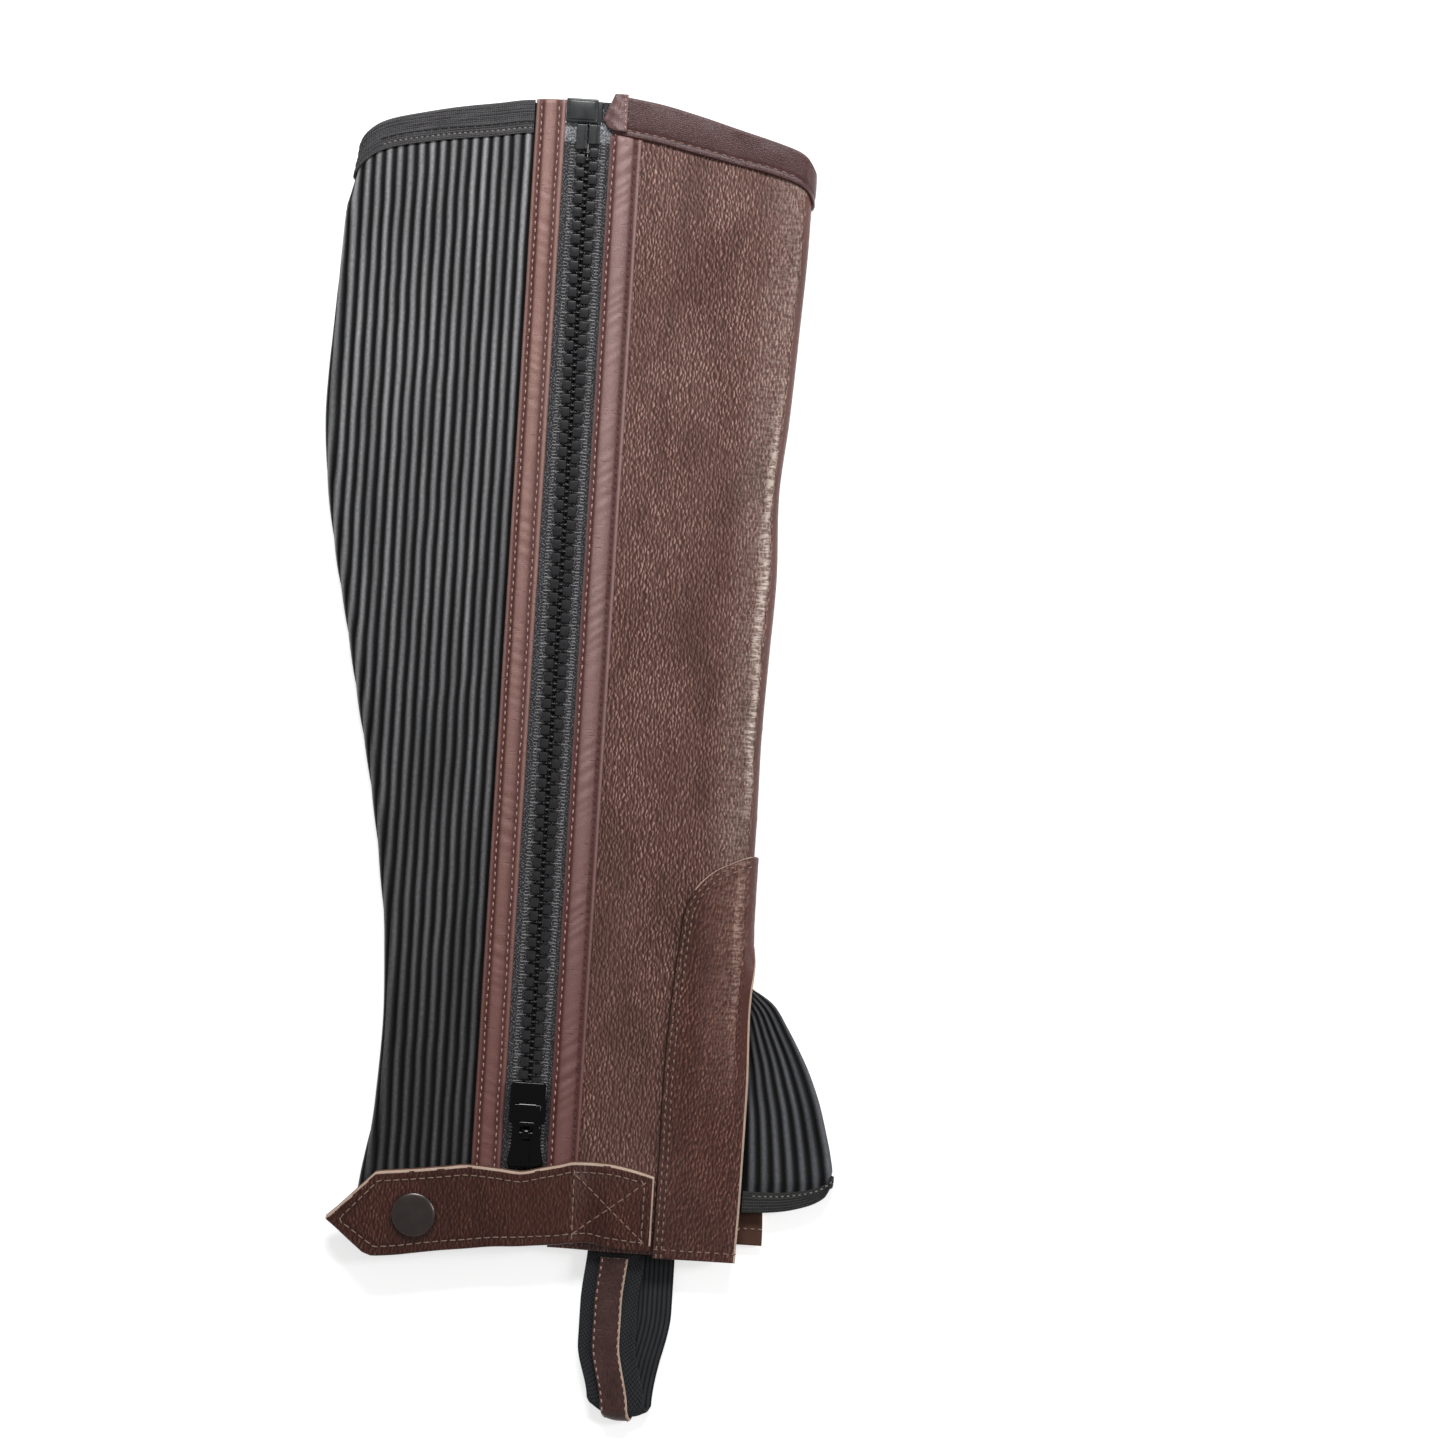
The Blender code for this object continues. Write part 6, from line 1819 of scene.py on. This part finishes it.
def tooth():
    """Block on the tape, neck and head towards the other side, and foot behind the block."""
    block = rounded_block((-1.6, 0.8, 0.25), (1.6, 3.8, 2.1), 0.28)
    neck = rounded_block((-0.42, -1.0, 0.4), (0.42, 1.2, 1.35), 0.25, 1)
    head = ball((0, -1.2, 1.0), 0.58, 1.1)
    foot = rounded_block((-1.1, 3.2, 0.1), (1.1, 3.95, 0.95), 0.25, 1)
    return at_origin("one_tooth", *gathered(block, neck, head, foot))


# %% Two rows of teeth
TOOTH_PITCH, TOOTH_STEPS = 4.78, 72
# Places of the first teeth up the leg.
FIRST_CALF, FIRST_SHIN = 46.8 + 1.5, 46.8 + 3.89


def zip_path(x, first, last, rise=0.0):
    """Path up the leg's face, or down it if last is the lower one."""
    v = np.linspace(first, last, 300)
    return list(panel(x + 0 * v, v, rise)), [np.array((0.0, 0.0, 1.0))] * len(v)


def row_ends(first):
    return first, first + TOOTH_STEPS * TOOTH_PITCH


def teeth(name, first, last, *nodes):
    made = repeated(name, [zip_path(0, first, last)], tooth(), TOOTH_PITCH, plastic, unrest=0.0)
    settle(made, "zip_teeth", *nodes)


teeth("teeth_calf", *row_ends(FIRST_CALF))
teeth("teeth_shin", *reversed(row_ends(FIRST_SHIN)), "zip_chain")

# %% Ladder stitches beside the teeth
SHORT_STITCH, LONG_STITCH = 1.7, 3.6
SHORT_AT, LONG_AT, SHORT_ENDS = 5.6, 4.2, (10, 402)


def ladder(name, x, ends, length, pitch, seed):
    """Stitches across the tape, one beside another."""
    made = repeated(name, [zip_path(x, *ends, 0.02)], stitch(length, 0.36, 0.16), pitch, pale_thread,
                    math.pi / 2, 0.12, seed)
    settle(made, "zip_tape")


# The long ones lie between two teeth, so level with those of the other side.
for side, sign, other_first in (("calf", -1, FIRST_SHIN), ("shin", 1, FIRST_CALF)):
    ladder(f"ladder_{side}_short", sign * SHORT_AT, SHORT_ENDS, SHORT_STITCH, TOOTH_PITCH / 4, 41 + sign)
    ladder(f"ladder_{side}_long", sign * LONG_AT, row_ends(other_first), LONG_STITCH, TOOTH_PITCH, 47 + sign)

# %% [markdown]
# ## Box, pins and snap
# At the knee the zip opens: a box on one tape takes the pin of the other. The snap's cap is a turned shell
# with a rolled rim. Spin would leave a double seam, so the rings of the cap are joined directly.
# %% Box and pins
def moved_into_place(name, points, faces, finish, slot, *nodes, body="chap"):
    """Piece from points in the drawing's millimetres."""
    points = np.asarray(points, float)
    data = solid_mesh(name, points, outwards(points, faces), (finish,), sharp=45)
    return settle(in_scene(name, data), slot, *nodes, body=body)


def level_at(u, v):
    """Height of the leg's face at one place."""
    return float(face(np.array(u), np.array(v)))


# Shell, raised lid, side wall and sill: both corners with z from the face, rounding and its steps.
BOX_FOOT = 405.4
BOX_BLOCKS = (
    ((-8.5, 405.6, -1.2), (2.9, 414.2, 2.1), 0.6, 3),
    ((-7.4, 406.6, 1.6), (1.9, 413.2, 2.6), 0.45, 2),
    ((2.6, 406.2, -1.0), (4.4, 413.6, 1.4), 0.4, 2),
    ((-8.3, BOX_FOOT, -0.4), (4.3, 406.8, 1.2), 0.4, 2))
box_face = level_at(0.0, BOX_FOOT)
box_parts = gathered(*(
    rounded_block((*low[:2], box_face + low[2]), (*high[:2], box_face + high[2]), edge, segments)
    for low, high, edge, segments in BOX_BLOCKS))
moved_into_place("zip_box_plastic", *box_parts, end_plastic, "zip_teeth", "zip_box")


def pin(name, across, along, node):
    """Flat pin with a raised rib on its right side."""
    low, high = box_face + 0.3, box_face + 2.5
    moved_into_place(name, *gathered(
        rounded_block((across[0], along[0], low), (across[1] - 0.5, along[1], high - 0.3), 0.4, 3),
        rounded_block((across[1] - 0.95, along[0] + 0.2, low), (across[1], along[1], high), 0.32, 3)),
        end_plastic, "zip_teeth", node)


pin("zip_pin_calf_plastic", (-4.3, -0.4), (395.9, 405.0), "zip_pin_calf")
pin("zip_pin_shin_plastic", (0.0, 3.9), (398.0, 405.0), "zip_pin_shin")

# %% Snap
SNAP, SNAP_RADIUS, SNAP_HEIGHT, STUD_RADIUS = (-38.3, 11.0), 7.9, 2.0, 5.5


def turned_body(profile, middle, around=64):
    """Closed round body from rows of radius and height; the first and last rows close it."""
    turn = np.arange(around) * 2 * math.pi / around
    x, y = middle
    points = [(x + r * math.cos(a), y + r * math.sin(a), z) for r, z in profile for a in turn]
    return points, tube_faces(len(profile), around)


cap_level = float(strap_under(SNAP[0])) + 2 * STRAP_LAYER + 2 * GAP
cap_profile = [(7.0, 0.0), (7.55, 0.05), (7.8, 0.25), (SNAP_RADIUS, 0.6), (7.86, 0.95), (7.66, 1.22),
               (7.3, 1.42), (6.8, 1.56), (6.0, 1.68), (5.0, 1.8), (3.8, 1.89), (2.4, 1.96),
               (1.0, SNAP_HEIGHT), (0.25, SNAP_HEIGHT)]
moved_into_place("snap_cap_metal", *turned_body([(r, cap_level + z) for r, z in cap_profile], SNAP),
                 gunmetal, "gunmetal", "snap_cap")
stud_low = level_at(*SNAP) + GAP + BINDING + GAP + 0.6
stud_high = float(strap_under(SNAP[0])) - GAP
stud_profile = [(4.9, stud_low), (STUD_RADIUS, stud_low + 0.2), (STUD_RADIUS, stud_high - 0.25),
                (4.9, stud_high), (2.0, stud_high)]
moved_into_place("snap_stud_metal", *turned_body(stud_profile, SNAP, 40), gunmetal, "gunmetal", "snap_stud")

# %% [markdown]
# ## Slider and pull tab
# The slider is cast and enamelled black. Its body flares towards the ankle, and a ring on top carries the
# pull tab, which lies on the teeth. The tab turns about the pin through the ring, so it is a piece of its
# own on its own body.
# %% Slider
SLIDER_FOOT, SLIDER_HEAD, SLIDER_RISE = 29.0, 45.4, 3.8
PULL_AXIS_V, PULL_AXIS_RISE, PULL_TILT = 42.0, 5.4, math.radians(6.5)
slider_face = level_at(0.0, 38.0)
axis_z = slider_face + PULL_AXIS_RISE


def mirrored(half):
    """Whole outline, from the points of its right half."""
    return list(half) + [(-x, y) for x, y in reversed(half)]


def cast_plate(outline, low, high, edge):
    """Points and faces of a plate with an outline and rounded edges."""
    work = bmesh.new()
    ring = [work.verts.new((x, y, low)) for x, y in outline]
    flat = work.faces.new(ring)
    raised = bmesh.ops.extrude_face_region(work, geom=[flat])["geom"]
    upper = [part for part in raised if isinstance(part, bmesh.types.BMVert)]
    bmesh.ops.translate(work, vec=(0, 0, high - low), verts=upper)
    bmesh.ops.recalc_face_normals(work, faces=work.faces)
    bmesh.ops.bevel(work, geom=work.edges[:], offset=edge, segments=3, affect="EDGES", profile=0.5)
    return taken_from(work)


BRIDGE_RADIUS, BRIDGE_BORE, BRIDGE_WIDTH, BRIDGE_ROUNDED = 2.4, 1.15, 2.8, 0.45


def bridge(around=40):
    """Rounded ring round the pin, which runs across the leg; side is -1 and 1 at its two flat faces."""
    radius, bore, crown = BRIDGE_RADIUS, BRIDGE_BORE, 1 - BRIDGE_ROUNDED / BRIDGE_WIDTH * 2
    half = [(radius, crown), (radius - 0.12, 0.86), (radius - 0.42, 1.0), (bore + 0.3, 1.0), (bore, 0.88)]
    profile = half + [(r, -side) for r, side in reversed(half)]
    turn = np.arange(around) * 2 * math.pi / around
    points = [(side * BRIDGE_WIDTH / 2, PULL_AXIS_V + r * math.cos(a), axis_z + r * math.sin(a))
              for a in turn for r, side in profile]
    size = len(profile)
    faces = []
    for this, following in zip(range(around), (*range(1, around), 0)):
        for j in range(size):
            j_next = (j + 1) % size
            faces.append((this * size + j, this * size + j_next, following * size + j_next,
                          following * size + j))
    return points, faces


def ledge(half, v, z, wide=0.45):
    """Cast step whose narrow flat front looks up the leg at the window."""
    drop, deep = 0.56 * wide, 0.8
    profile = ((v + wide, z), (v, z + drop), (v - deep, z + drop), (v - deep, z - 0.6), (v + wide, z - 0.6))
    points = [(x, a, b) for x in (-half, half) for a, b in profile]
    return points, outwards(np.array(points), tube_faces(2, len(profile)))


slider_outline = mirrored((
    (4.4, SLIDER_HEAD), (5.1, SLIDER_HEAD - 1.4), (5.4, 37.2), (6.4, SLIDER_FOOT + 3.4),
    (6.4, SLIDER_FOOT + 1.2), (5.4, SLIDER_FOOT), (1.2, SLIDER_FOOT + 0.6)))
high = slider_face + SLIDER_RISE
slider_parts = gathered(
    cast_plate(slider_outline, slider_face + GAP, high, 0.7),
    rounded_block((-1.7, 31.4, high - 0.8), (1.7, 40.3, high + 0.9), 0.55, 3),
    ledge(1.2, 34.6, high + 0.75), ledge(1.6, 39.6, high + 0.8), bridge())
moved_into_place("slider_enamel", *slider_parts, enamel, "black_enamel", "slider")

# %% Pull tab
TAB_HALF, TAB_NEAR, TAB_FAR, TAB_THICK = 6.6, 3.0, 18.4, 1.5


def tilted(points):
    """From the tab's own axes to its place at rest, leaning down towards the knee."""
    c, s = math.cos(-PULL_TILT), math.sin(-PULL_TILT)
    return [(x, PULL_AXIS_V + y * c - z * s, axis_z + y * s + z * c) for x, y, z in points]


def tab():
    """Plate with an eye, raised pad, bar above the eye, two steps, and the rod through the bridge."""
    edge = mirrored(((2.0, -0.6), (3.9, -0.6), (3.9, TAB_NEAR - 0.2), (5.8, TAB_NEAR + 0.4),
                     (TAB_HALF, TAB_NEAR + 1.4), (TAB_HALF, TAB_FAR - 1.2), (TAB_HALF - 1.2, TAB_FAR)))
    edge += [(-2.0, TAB_NEAR), (2.0, TAB_NEAR)]
    plate = cast_plate(edge, -TAB_THICK / 2, TAB_THICK / 2, 0.45)
    pad = rounded_block((-4.9, 4.0, 0.3), (4.9, 10.4, 1.3), 0.45, 3)
    bar = rounded_block((-3.0, 2.55, -0.4), (3.0, 4.3, 1.9), 0.6, 3)
    rod = [(x, 0.8 * math.cos(a), 0.8 * math.sin(a)) for x in (-2.5, 2.5)
           for a in np.arange(16) * math.pi / 8]
    points, faces = gathered(plate, pad, bar, ledge(3.0, 10.1, 1.05, 0.5), ledge(2.4, 3.9, 1.6, 0.4),
                             (rod, tube_faces(2, 16)))
    return tilted(points), faces


moved_into_place("pull_tab_enamel", *tab(), enamel, "black_enamel", "pull_tab", body="pull")
